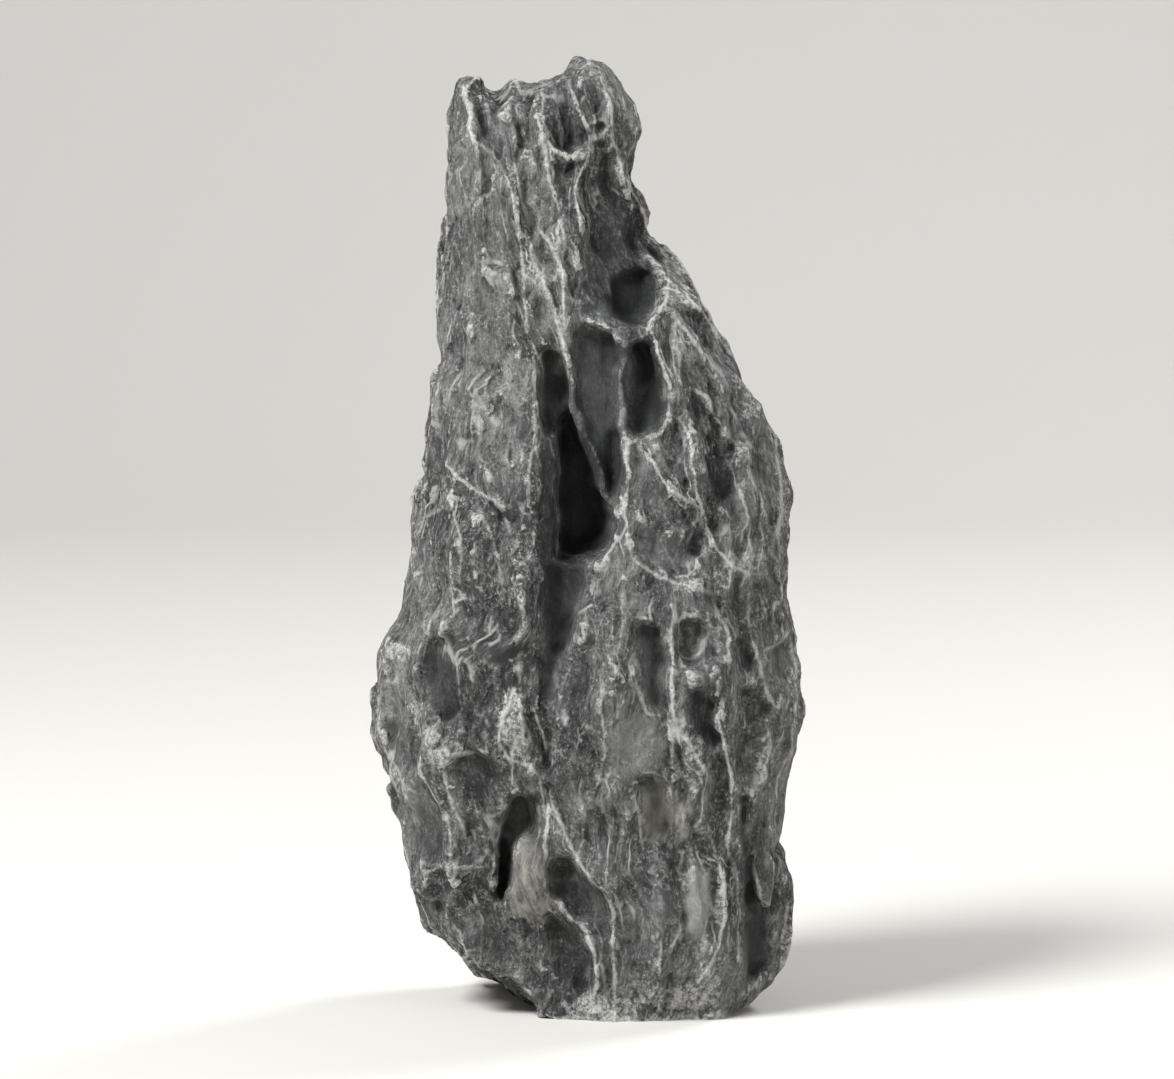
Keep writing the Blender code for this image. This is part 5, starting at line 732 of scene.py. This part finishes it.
def scatter_hollows(points, normals, block_normals):
    """Cuts upright oval hollows all over the sides, back and crown, each one along its own direction, but
    none where the block, before any hollow was cut, faced forward."""
    rng = np.random.default_rng(SCATTER_SEED)
    depth = np.zeros(len(points))
    push = np.zeros_like(points)
    behind = 1 - smooth_step(*SCATTER_BEHIND, -block_normals[:, 1])
    for count, least, most, tall, share in SCATTER:
        for _ in range(count):
            turn = rng.uniform(-SCATTER_PAST, np.pi + SCATTER_PAST)
            height = rng.uniform(SCATTER_MARGIN, HEIGHT - SCATTER_MARGIN)
            half_width, lean = rng.uniform(least, most), rng.normal(0, SCATTER_LEAN)
            outward = np.array((np.cos(turn), np.sin(turn), 0))
            offset = points - (0, 0, height)
            reach = offset @ outward
            beside = np.linalg.norm(offset - np.outer(reach, outward), axis=1) + HEIGHT * (reach < 0)
            near = np.argsort(beside)[:SCATTER_NEAR]
            centre = points[near].mean(axis=0)
            inward = -normals[near].mean(axis=0)
            inward /= np.linalg.norm(inward)
            side = np.cross((lean, lean, 1.0), inward)
            side /= np.linalg.norm(side)
            offset = points - centre
            r2 = oval(offset @ side, offset @ np.cross(inward, side), 0, 0, half_width, half_width * tall)
            agrees = smooth_step(*SCATTER_FACING, -(normals @ inward)) * behind
            agrees[np.abs(offset @ inward) > SCATTER_REACH * half_width] = 0
            cut = share * half_width * np.clip(1 - r2, 0, 1) * agrees
            deeper = cut > depth
            depth = np.where(deeper, cut, depth)
            push[deeper] = inward
    return points + push * depth[:, None]


def along_beds(points):
    """Places measured across the stone's beds."""
    left, right = along(LEFT_EDGE, points[:, 2]), along(RIGHT_EDGE, points[:, 2])
    share = (points[:, 0] - (left + right) / 2) / (right - left)
    bent = points.copy()
    bent[:, 0] = (1 - FOLLOW) * points[:, 0] + FOLLOW * BED_WIDTH * share
    return bent + waves(points, *BED_WAVES)


def flute(points, normals, layers):
    """Wrinkles along the beds: troughs round scattered centres, with crests where they meet."""
    beds = along_beds(points)
    rise = np.zeros(len(points))
    for size, height in layers:
        rise += height * (np.clip(nearest_centre(beds, size, 0), 0, 1) ** 2 - FLUTE_LEVEL)
    return points + normals * rise[:, None]


def break_facets(points, normals, layers):
    """Flat breaks, each tilted its own way, with a step where one ends."""
    rise = np.zeros(len(points))
    for size, tilt, seed in layers:
        wander = waves(points, *BREAK_WAVES, (seed, seed + 1, seed + 2), BREAK_SWAY)
        centres = nearest_centre(points + wander, size, 1) * size
        turns = np.sin(centres @ np.array(SCRAMBLE)[:, None] * SCRAMBLE_TURNS) * SCRAMBLE_REACH
        turns = (2 * (turns - np.floor(turns)) - 1) * (1, 1, size[0] / size[2])
        rise += np.sum((points - centres) * turns, axis=1) * tilt
    return points + normals * np.clip(rise, -MOST_BREAK, MOST_BREAK)[:, None]


def spots(points, normals, table):
    """How strongly each point lies in the patches of a table, with uneven edges."""
    across, up = (points[:, ::2] + waves(points, *PATCH_WAVES)).T
    most = np.zeros(len(points))
    for *place, strength in table:
        most = np.maximum(most, strength * smooth_step(*PATCH_EDGE, oval(across, up, *place)))
    return most * smooth_step(-0.1, 0.4, -normals[:, 1])  # none on what faces away


def calm_places(points, normals):
    """How smooth the stone stayed at each point."""
    return np.maximum(water_worn(points, normals, SMOOTHED), spots(points, normals, SMOOTH))


def carve_stone():
    """The whole stone, as fine as the limit on triangles lets it be."""
    stone = rough_block()
    work(stone, bend_and_split)
    work(stone, swell)
    work(stone, break_facets, BREAKS)
    regrain(stone, HOLLOW_GRAIN * MM)
    block_normals = get_normals(stone.data)
    work(stone, hollow_out)
    work(stone, scatter_hollows, block_normals)
    regrain(stone, CREST_GRAIN * MM)
    work(stone, raise_crests)
    worn = water_worn(get_points(stone.data), get_normals(stone.data), SMOOTHED)
    work(stone, flute, FLUTES, share=1 - FLUTES_CALMED * worn)
    regrain(stone, SKIN_GRAIN * MM)
    rough = 1 - FINE_CALMED * calm_places(get_points(stone.data), get_normals(stone.data))
    work(stone, break_facets, FINE_BREAKS, share=rough)
    rough = rough * uneven(get_points(stone.data), *UNEVEN_WRINKLES)
    work(stone, flute, FINE_FLUTES, share=rough)
    return stone


def cut_foot(obj):
    """Cuts the stone off level where it rests, as its solid is."""
    edit = bmesh.new()
    edit.from_mesh(obj.data)
    cut = bmesh.ops.bisect_plane(
        edit, geom=edit.verts[:] + edit.edges[:] + edit.faces[:], plane_co=(0, 0, 0), plane_no=(0, 0, -1),
        clear_outer=True)
    rim = [part for part in cut["geom_cut"] if isinstance(part, bmesh.types.BMEdge)]
    bmesh.ops.holes_fill(edit, edges=rim, sides=0)
    bmesh.ops.triangulate(edit, faces=[face for face in edit.faces if len(face.verts) > 4])
    edit.to_mesh(obj.data)
    edit.free()
    obj.data.update()


def thin_out(obj, most):
    """Merges the small faces until there are at most this many triangles."""
    obj.data.calc_loop_triangles()
    decimate = obj.modifiers.new("thin", "DECIMATE")
    decimate.ratio = min(1.0, most / len(obj.data.loop_triangles))
    apply_modifiers(obj)


def keep_in_box(mesh, low, high):
    """Brings the few tips that stand out of the solid's box back to it."""
    low, high = np.array(low) / MM, np.array(high) / MM
    set_points(mesh, np.clip(get_points(mesh), low + INSET, high - INSET))


def drawn_lines(points, normals):
    """Distance from each point to the nearest drawn crest of the front, less than zero on one side of
    it, and how clearly it shows there."""
    across, up, facing = seen_from("front", points, normals)
    nearest = np.full(len(points), FARTHEST)
    signed, clear = nearest.copy(), np.zeros(len(points))
    for name, line, height, _ in CRESTS["front"]:
        if name in FAINT:
            continue
        distance, share, side = distance_to_line(across, up, line)
        shown = min(1, (height / SHOWN_HEIGHT) ** SHOWN_POWER)
        shown = shown * (SHOWN_ENDS + (1 - SHOWN_ENDS) * tapered(share, END_LENGTH))
        nearer = distance < nearest
        nearest = np.where(nearer, distance, nearest)
        clear = np.where(nearer, shown, clear)
        signed = np.where(nearer, distance * side, signed)
    return signed, clear * smooth_step(*LINE_STOP, nearest) * facing


def relief(mesh, points, normals):
    """How far each vertex stands out of, or lies below, three smoothed copies of the surface."""
    ends = np.empty(len(mesh.edges) * 2, np.int32)
    mesh.edges.foreach_get("vertices", ends)
    ends = ends.reshape(-1, 2)
    degree = np.bincount(ends.ravel(), minlength=len(points)).astype(float)
    smooth, out = points.copy(), []
    for k in range(1, SMOOTHINGS[-1] + 1):
        total = np.empty_like(smooth)
        for axis in range(3):
            total[:, axis] = np.bincount(ends[:, 0], smooth[ends[:, 1], axis], len(smooth))
            total[:, axis] += np.bincount(ends[:, 1], smooth[ends[:, 0], axis], len(smooth))
        smooth = KEPT_PLACE * smooth + (1 - KEPT_PLACE) * (total / degree[:, None])
        if k in SMOOTHINGS:
            out.append(np.sum((points - smooth) * normals, axis=1))
    return out


def read_surface(mesh):
    """Notes at each vertex where crests are worn white and carry a painted highlight, where grooves and
    hollows take silt and painted shade, where the stone is chalky and stained, where paler and darker
    patches lie, mostly painted light and shade, and how its beds run, for the material to read by name."""
    points, normals = get_points(mesh), get_normals(mesh)
    fine, middle, broad = relief(mesh, points, normals)
    points = points + (*OFF_CENTRE, 0)

    def above(values, low, high):
        """0 below one percentile of the values, 1 above the other."""
        return smooth_step(*np.percentile(values, (low, high)), values)

    off, clear = drawn_lines(points, normals)
    noted = {
        # Crests are whitened both as worn stone and as a painted highlight on edges that catch the light
        "crest": above(fine, 76, 98) * 0.75 + above(middle, 78, 98) * 0.5,
        # Grooves and hollows are darkened: dark silt, and painted shade where less light reaches them
        "groove": above(-fine, 72, 98) * 0.55 + above(-middle, 70, 97) * 0.6,
        "hollow": np.maximum(smooth_step(1.2, 6.0, -broad) * 0.6, water_worn(points, normals, SILT_AND_SHADE)),
        "calm": calm_places(points, normals),
        "line_off": off,
        "line_clear": clear,
    }
    noted.update((name, spots(points, normals, table)) for name, table in PATCHES.items())
    for name, values in noted.items():
        made = mesh.attributes.new(name, "FLOAT", "POINT")
        made.data.foreach_set("value", np.ascontiguousarray(values, np.float32))
    beds = mesh.attributes.new("beds", "FLOAT_VECTOR", "POINT")
    beds.data.foreach_set("vector", np.ascontiguousarray(along_beds(points) * MM, np.float32).ravel())
    return tuple(noted)


def linear(code):
    """An sRGB hex colour as the linear colour that a shader takes."""
    parts = [int(code[i:i + 2], 16) / 255 for i in (1, 3, 5)]
    return tuple(c / 12.92 if c <= 0.04045 else ((c + 0.055) / 1.055) ** 2.4 for c in parts) + (1.0,)


def blank_material(name):
    material = bpy.data.materials.new(name)
    material.use_nodes = True
    material.node_tree.nodes.clear()
    return material, material.node_tree


def add(tree, kind, settings=None, links=None):
    """Adds a node with its settings, fixed inputs and links from other nodes' outputs."""
    node = tree.nodes.new(kind)
    for name, value in (settings or {}).items():
        setattr(node, name, value)
    for socket, source in (links or {}).items():
        if isinstance(source, bpy.types.NodeSocket):
            tree.links.new(source, node.inputs[socket])
        else:
            node.inputs[socket].default_value = source
    return node


FACTOR, UNDER, OVER, MIXED = 0, 6, 7, 2  # sockets of a Mix node for colours, the last one its output

# The limestone's noises: size in millimetres, detail, roughness, and how much longer than wide they run
# along the beds, or 0 where they don't follow them
NOISES = {
    "clouds": (24, 5, 0.6, 0),
    "streaks": (3.4, 6, 0.7, 3.5),
    "mottle": (2.2, 5, 0.75, 1.7),
    "grain": (0.7, 4, 0.7, 3),
    "crystals": (0.8, 3, 0.8, 0),  # sugary ones, drawn a little coarser than real so that they show
    "crystal fields": (7, 3, 0.6, 0),
    "crack fields": (8, 3, 0.6, 0),
    "grit": (1.4, 5, 0.8, 0),
    "line fields": (5.0, 4, 0.65, 0),
    "stained": (1.6, 4, 0.7, 4),
}
# The hair cracks: how far apart, how much longer than wide, and the waves that bend them
CRACK_SPACING, CRACK_STRETCH, CRACK_WAVE, CRACK_BEND = 6.5, 5, 6, 2.2

# What is worked out of them and of what the stone's surface notes: kind of curve, what is read, between
# which values, and what it is at each
CURVES = {
    "broken": ("LINEAR", "calm", 0, 1, 1, 0.2),
    "not dark": ("LINEAR", "dark", 0, 1, 1, 0),
    "ragged": ("LINEAR", "grit", 0, 1, -0.5, 0.5),
    "flecks": ("SMOOTHSTEP", "crystals", 0.42, 0.56, 0.4, 1),
    "line flecks": ("SMOOTHSTEP", "crystals", 0.42, 0.56, 0.61, 1),
    "line edge": ("LINEAR", "line fields", 0.32, 0.66, 0.15, 0.9),
    "line core": ("LINEAR", "line fields", 0.32, 0.66, 0.015, 0.09),
    "roughness": ("LINEAR", "crystals", 0.3, 0.7, 0.92, 0.68),
}
# How far grit frays the edges of the whitened places
FRAYED = {"crest": 2.5, "chalk": 3.5, "line_off": 1.6}

# Colour over colour on the bare rock: how much of each, and the masks that multiply it. A mask in
# brackets rises softly, from nothing where what it reads is at the first value to all at the second.
ROCK = "#38393a"
COATS = (
    # Clouds of darker and lighter grey a few centimetres across, and streaks down the bedding
    ("#626363", 1.0, ("clouds", 0.36, 0.66)),
    ("#989997", 0.65, ("streaks", 0.50, 0.70), "broken"),
    ("#1b1c1d", 0.65, ("streaks", 0.50, 0.32), "broken"),
    # Painted light on the pale patches and painted shade on the dark ones, over some paler and darker stone
    ("#9b9c99", 0.7, "pale"),
    ("#1a1b1c", 0.5, "dark"),
    # Mottling at the size of the smallest breaks, and a finer upright grain in it
    ("#a2a29f", 0.55, ("mottle", 0.52, 0.68), "broken"),
    ("#141516", 0.55, ("mottle", 0.48, 0.33), "broken"),
    ("#b0b0ad", 0.5, ("grain", 0.52, 0.70), "broken"),
    ("#131415", 0.5, ("grain", 0.48, 0.31), "broken"),
    # Sugary crystals under a millimetre across
    ("#c0c0bd", 0.5, ("crystals", 0.52, 0.66), ("crystal fields", 0.42, 0.62), "broken"),
    ("#121314", 0.5, ("crystals", 0.47, 0.33), ("crystal fields", 0.42, 0.62), "broken"),
    # Painted shade on the dark patches once more, over the crystals
    ("#1a1b1c", 0.45, "dark"),
    # Hair lines of calcite along old cracks, that come and go
    ("#c4c4c0", 0.6, ("cracks", 0.055, 0.01), ("crack fields", 0.47, 0.62), ("broken", 0.4, 0.9)),
    # Worn crests, whitened and with a painted highlight where their edges meet the light, and broken chalky
    # patches, in flecks at the size of the crystals
    ("#cacac6", 0.9, ("crest", 0.25, 1.1), "broken", "not dark", "flecks"),
    ("#d2d2cd", 0.8, ("chalk", 0.6, 1.3), "flecks"),
    # A line of such flecks on the clearest crests, whitened stone with a painted highlight on their edges,
    # wide in places and hardly there in others
    ("#d0d0cc", 0.95, ("line_off", "line edge", "line core"), "line_clear", "broken",
     ("line fields", 0.26, 0.5), "line flecks"),
    # Stains in the pits
    ("#99968c", 0.95, "khaki", ("stained", 0.3, 0.7)),
    ("#838277", 0.75, "olive"),
    ("#a3a29b", 0.9, "cream", ("stained", 0.3, 0.7)),
    # Darker grooves and hollows: dark silt, and painted shade where less light reaches
    ("#0d0e0f", 0.65, "groove"),
    ("#151617", 0.82, "hollow"),
)
# How much each of these roughens the surface, as shares of the depth
ROUGHENED = {"crystals": 0.6, "mottle": 1.1, "streaks": 1.2, "grain": 0.6}
ROUGHENED_DEPTH = 0.9


def weathered_limestone(noted):
    """Seiryu limestone, split from its bed and eaten by water: dark grey and matt, with a fine upright
    grain, sugary where it broke, whitened along its worn crests with a painted highlight on them, darker
    with silt and painted shade in its grooves and hollows, and with patches of painted light and shade."""
    material, tree = blank_material("weathered_seiryu_limestone")
    place = add(tree, "ShaderNodeTexCoord").outputs["Object"]
    beds = add(tree, "ShaderNodeAttribute", {"attribute_name": "beds"}).outputs["Vector"]
    value = {name: add(tree, "ShaderNodeAttribute", {"attribute_name": name}).outputs["Fac"]
             for name in noted}
    for name, (size, detail, rough, tall) in NOISES.items():
        where = place
        if tall:
            where = add(tree, "ShaderNodeMapping", {"vector_type": "POINT"}, {
                "Vector": beds, "Scale": (1, 1, 1 / tall)}).outputs["Vector"]
        value[name] = add(tree, "ShaderNodeTexNoise", {"noise_dimensions": "3D"}, {
            "Vector": where, "Scale": 1 / (size * MM), "Detail": detail, "Roughness": rough}).outputs["Fac"]

    wave = add(tree, "ShaderNodeTexNoise", None, {
        "Vector": beds, "Scale": 1 / (CRACK_WAVE * MM), "Detail": 3})
    bent = add(tree, "ShaderNodeVectorMath", {"operation": "MULTIPLY_ADD"}, {
        0: wave.outputs["Color"], 1: [CRACK_BEND * MM] * 3, 2: beds})
    upright = add(tree, "ShaderNodeMapping", {"vector_type": "POINT"}, {
        "Vector": bent.outputs["Vector"], "Scale": (1, 1, 1 / CRACK_STRETCH)})
    value["cracks"] = add(tree, "ShaderNodeTexVoronoi", {"feature": "DISTANCE_TO_EDGE"}, {
        "Vector": upright.outputs["Vector"], "Scale": 1 / (CRACK_SPACING * MM)}).outputs["Distance"]

    for name, (curve, source, low, high, at_low, at_high) in CURVES.items():
        value[name] = add(tree, "ShaderNodeMapRange", {"interpolation_type": curve}, {
            "Value": value[source], "From Min": low, "From Max": high, "To Min": at_low, "To Max": at_high,
        }).outputs["Result"]
    value["line_off"] = add(tree, "ShaderNodeMath", {"operation": "ABSOLUTE"}, {
        0: value["line_off"]}).outputs[0]
    for name, reach in FRAYED.items():
        value[name] = add(tree, "ShaderNodeMath", {"operation": "MULTIPLY_ADD"}, {
            0: value["ragged"], 1: reach, 2: value[name]}).outputs[0]

    colour = linear(ROCK)
    for code, amount, *masks in COATS:
        for mask in masks:
            if isinstance(mask, tuple):
                source, low, high = mask
                seen = add(tree, "ShaderNodeMapRange", {"interpolation_type": "SMOOTHSTEP"}, {
                    "Value": value[source], "From Min": value.get(low, low),
                    "From Max": value.get(high, high)}).outputs["Result"]
            else:
                seen = value[mask]
            amount = add(tree, "ShaderNodeMath", {"operation": "MULTIPLY"}, {0: amount, 1: seen}).outputs[0]
        colour = add(tree, "ShaderNodeMix", {"data_type": "RGBA"}, {
            FACTOR: amount, UNDER: colour, OVER: linear(code)}).outputs[MIXED]

    height = 0.0
    for name, share in ROUGHENED.items():
        height = add(tree, "ShaderNodeMath", {"operation": "MULTIPLY_ADD"}, {
            0: value[name], 1: share, 2: height}).outputs[0]
    bump = add(tree, "ShaderNodeBump", None, {
        "Strength": value["broken"], "Distance": ROUGHENED_DEPTH * MM, "Height": height})
    surface = add(tree, "ShaderNodeBsdfPrincipled", None, {
        "Base Color": colour, "Roughness": value["roughness"], "Metallic": 0.0, "IOR": 1.5,
        "Specular IOR Level": 0.35, "Normal": bump.outputs["Normal"]})
    add(tree, "ShaderNodeOutputMaterial", None, {"Surface": surface.outputs["BSDF"]})
    return material


def studio_paper():
    """Seamless background paper: pale warm white and quite matt. Its back side is clear, so that the
    stone can be looked at from behind too."""
    material, tree = blank_material("matt_background_paper")
    surface = add(tree, "ShaderNodeBsdfPrincipled", None, {
        "Base Color": linear("#d2d0cc"), "Roughness": 0.9, "Specular IOR Level": 0.2})
    behind = add(tree, "ShaderNodeNewGeometry").outputs["Backfacing"]
    clear = add(tree, "ShaderNodeBsdfTransparent")
    sides = add(tree, "ShaderNodeMixShader", None, {
        0: behind, 1: surface.outputs["BSDF"], 2: clear.outputs["BSDF"]})
    add(tree, "ShaderNodeOutputMaterial", None, {"Surface": sides.outputs["Shader"]})
    return material


# The studio, in metres: the paper's front edge, where it starts to curve up, how tightly, its top edge
# and half its width
PAPER_FRONT, CURVE_START, CURVE_RADIUS, PAPER_TOP, PAPER_REACH = -2.0, 0.9, 0.5, 2.6, 2.6
# A high soft key just left of the camera, a weak fill from the right, and a rim from behind: place,
# size, watts
LAMPS = {
    "key": ((-0.62, -0.50, 1.00), 0.45, 22),
    "fill": ((1.0, -0.9, 0.5), 0.7, 4),
    "rim": ((0.7, 0.6, 0.9), 0.4, 10),
}
LIT_POINT = (0, 0, 0.11)

# The camera: level with the middle of the stone and a little above it, far off, as in the photograph
ELEVATION = 7
DISTANCE = 1.6
LOOK_AT = (0, 0, 0.105)
SENSOR = 36
FRAME_SHAPE = 1079 / 1174
FRAMED_HEIGHT = 0.242


def put(name, data):
    """A new object in the scene."""
    obj = bpy.data.objects.new(name, data)
    bpy.context.scene.collection.objects.link(obj)
    return obj


def aim(obj, target):
    obj.rotation_euler = (Vector(target) - obj.location).to_track_quat("-Z", "Y").to_euler()


def lay_floor():
    """A floor that curves up into a backdrop behind the stone."""
    profile = [(PAPER_FRONT, 0.0), (CURVE_START, 0.0)]
    profile += [(CURVE_START + CURVE_RADIUS * np.sin(t), CURVE_RADIUS - CURVE_RADIUS * np.cos(t))
                for t in np.linspace(0.1, np.pi / 2, 14)]
    profile.append((CURVE_START + CURVE_RADIUS, PAPER_TOP))
    points = [(x, y, z) for y, z in profile for x in (-PAPER_REACH, PAPER_REACH)]
    faces = [(2 * i, 2 * i + 1, 2 * i + 3, 2 * i + 2) for i in range(len(profile) - 1)]
    mesh = bpy.data.meshes.new("floor")
    mesh.from_pydata(points, [], faces)
    mesh.materials.append(studio_paper())
    for face in mesh.polygons:
        face.use_smooth = True
    floor = put("floor", mesh)


def light_studio():
    for name, (place, size, power) in LAMPS.items():
        lamp = bpy.data.lights.new(name, "AREA")
        lamp.shape = "DISK"
        lamp.size = size
        lamp.energy = power
        obj = put(name, lamp)
        obj.location = place
        aim(obj, LIT_POINT)
    world = bpy.data.worlds.new("studio")
    world.use_nodes = True
    sky = world.node_tree.nodes["Background"]
    sky.inputs["Color"].default_value = linear("#f4f5f7")
    sky.inputs["Strength"].default_value = 0.26
    bpy.context.scene.world = world
    bpy.context.scene.view_settings.view_transform = "Standard"


def set_camera():
    camera = bpy.data.cameras.new("camera")
    camera.sensor_width = SENSOR
    camera.lens = SENSOR * FRAME_SHAPE * DISTANCE / FRAMED_HEIGHT
    camera.clip_start = 0.05
    obj = put("camera", camera)
    tilt = np.radians(ELEVATION)
    obj.location = Vector(LOOK_AT) + Vector((0, -np.cos(tilt), np.sin(tilt))) * DISTANCE
    aim(obj, LOOK_AT)
    bpy.context.scene.camera = obj


def main():
    stone = carve_stone()
    cut_foot(stone)
    set_points(stone.data, get_points(stone.data) - (*OFF_CENTRE, 0))
    thin_out(stone, MOST_TRIANGLES)
    keep_in_box(stone.data, *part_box(STONE))
    noted = read_surface(stone.data)
    stone.data.materials.clear()
    stone.data.materials.append(weathered_limestone(noted))
    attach(stone, "root")
    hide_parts(STONE)
    lay_floor()
    light_studio()
    set_camera()


main()
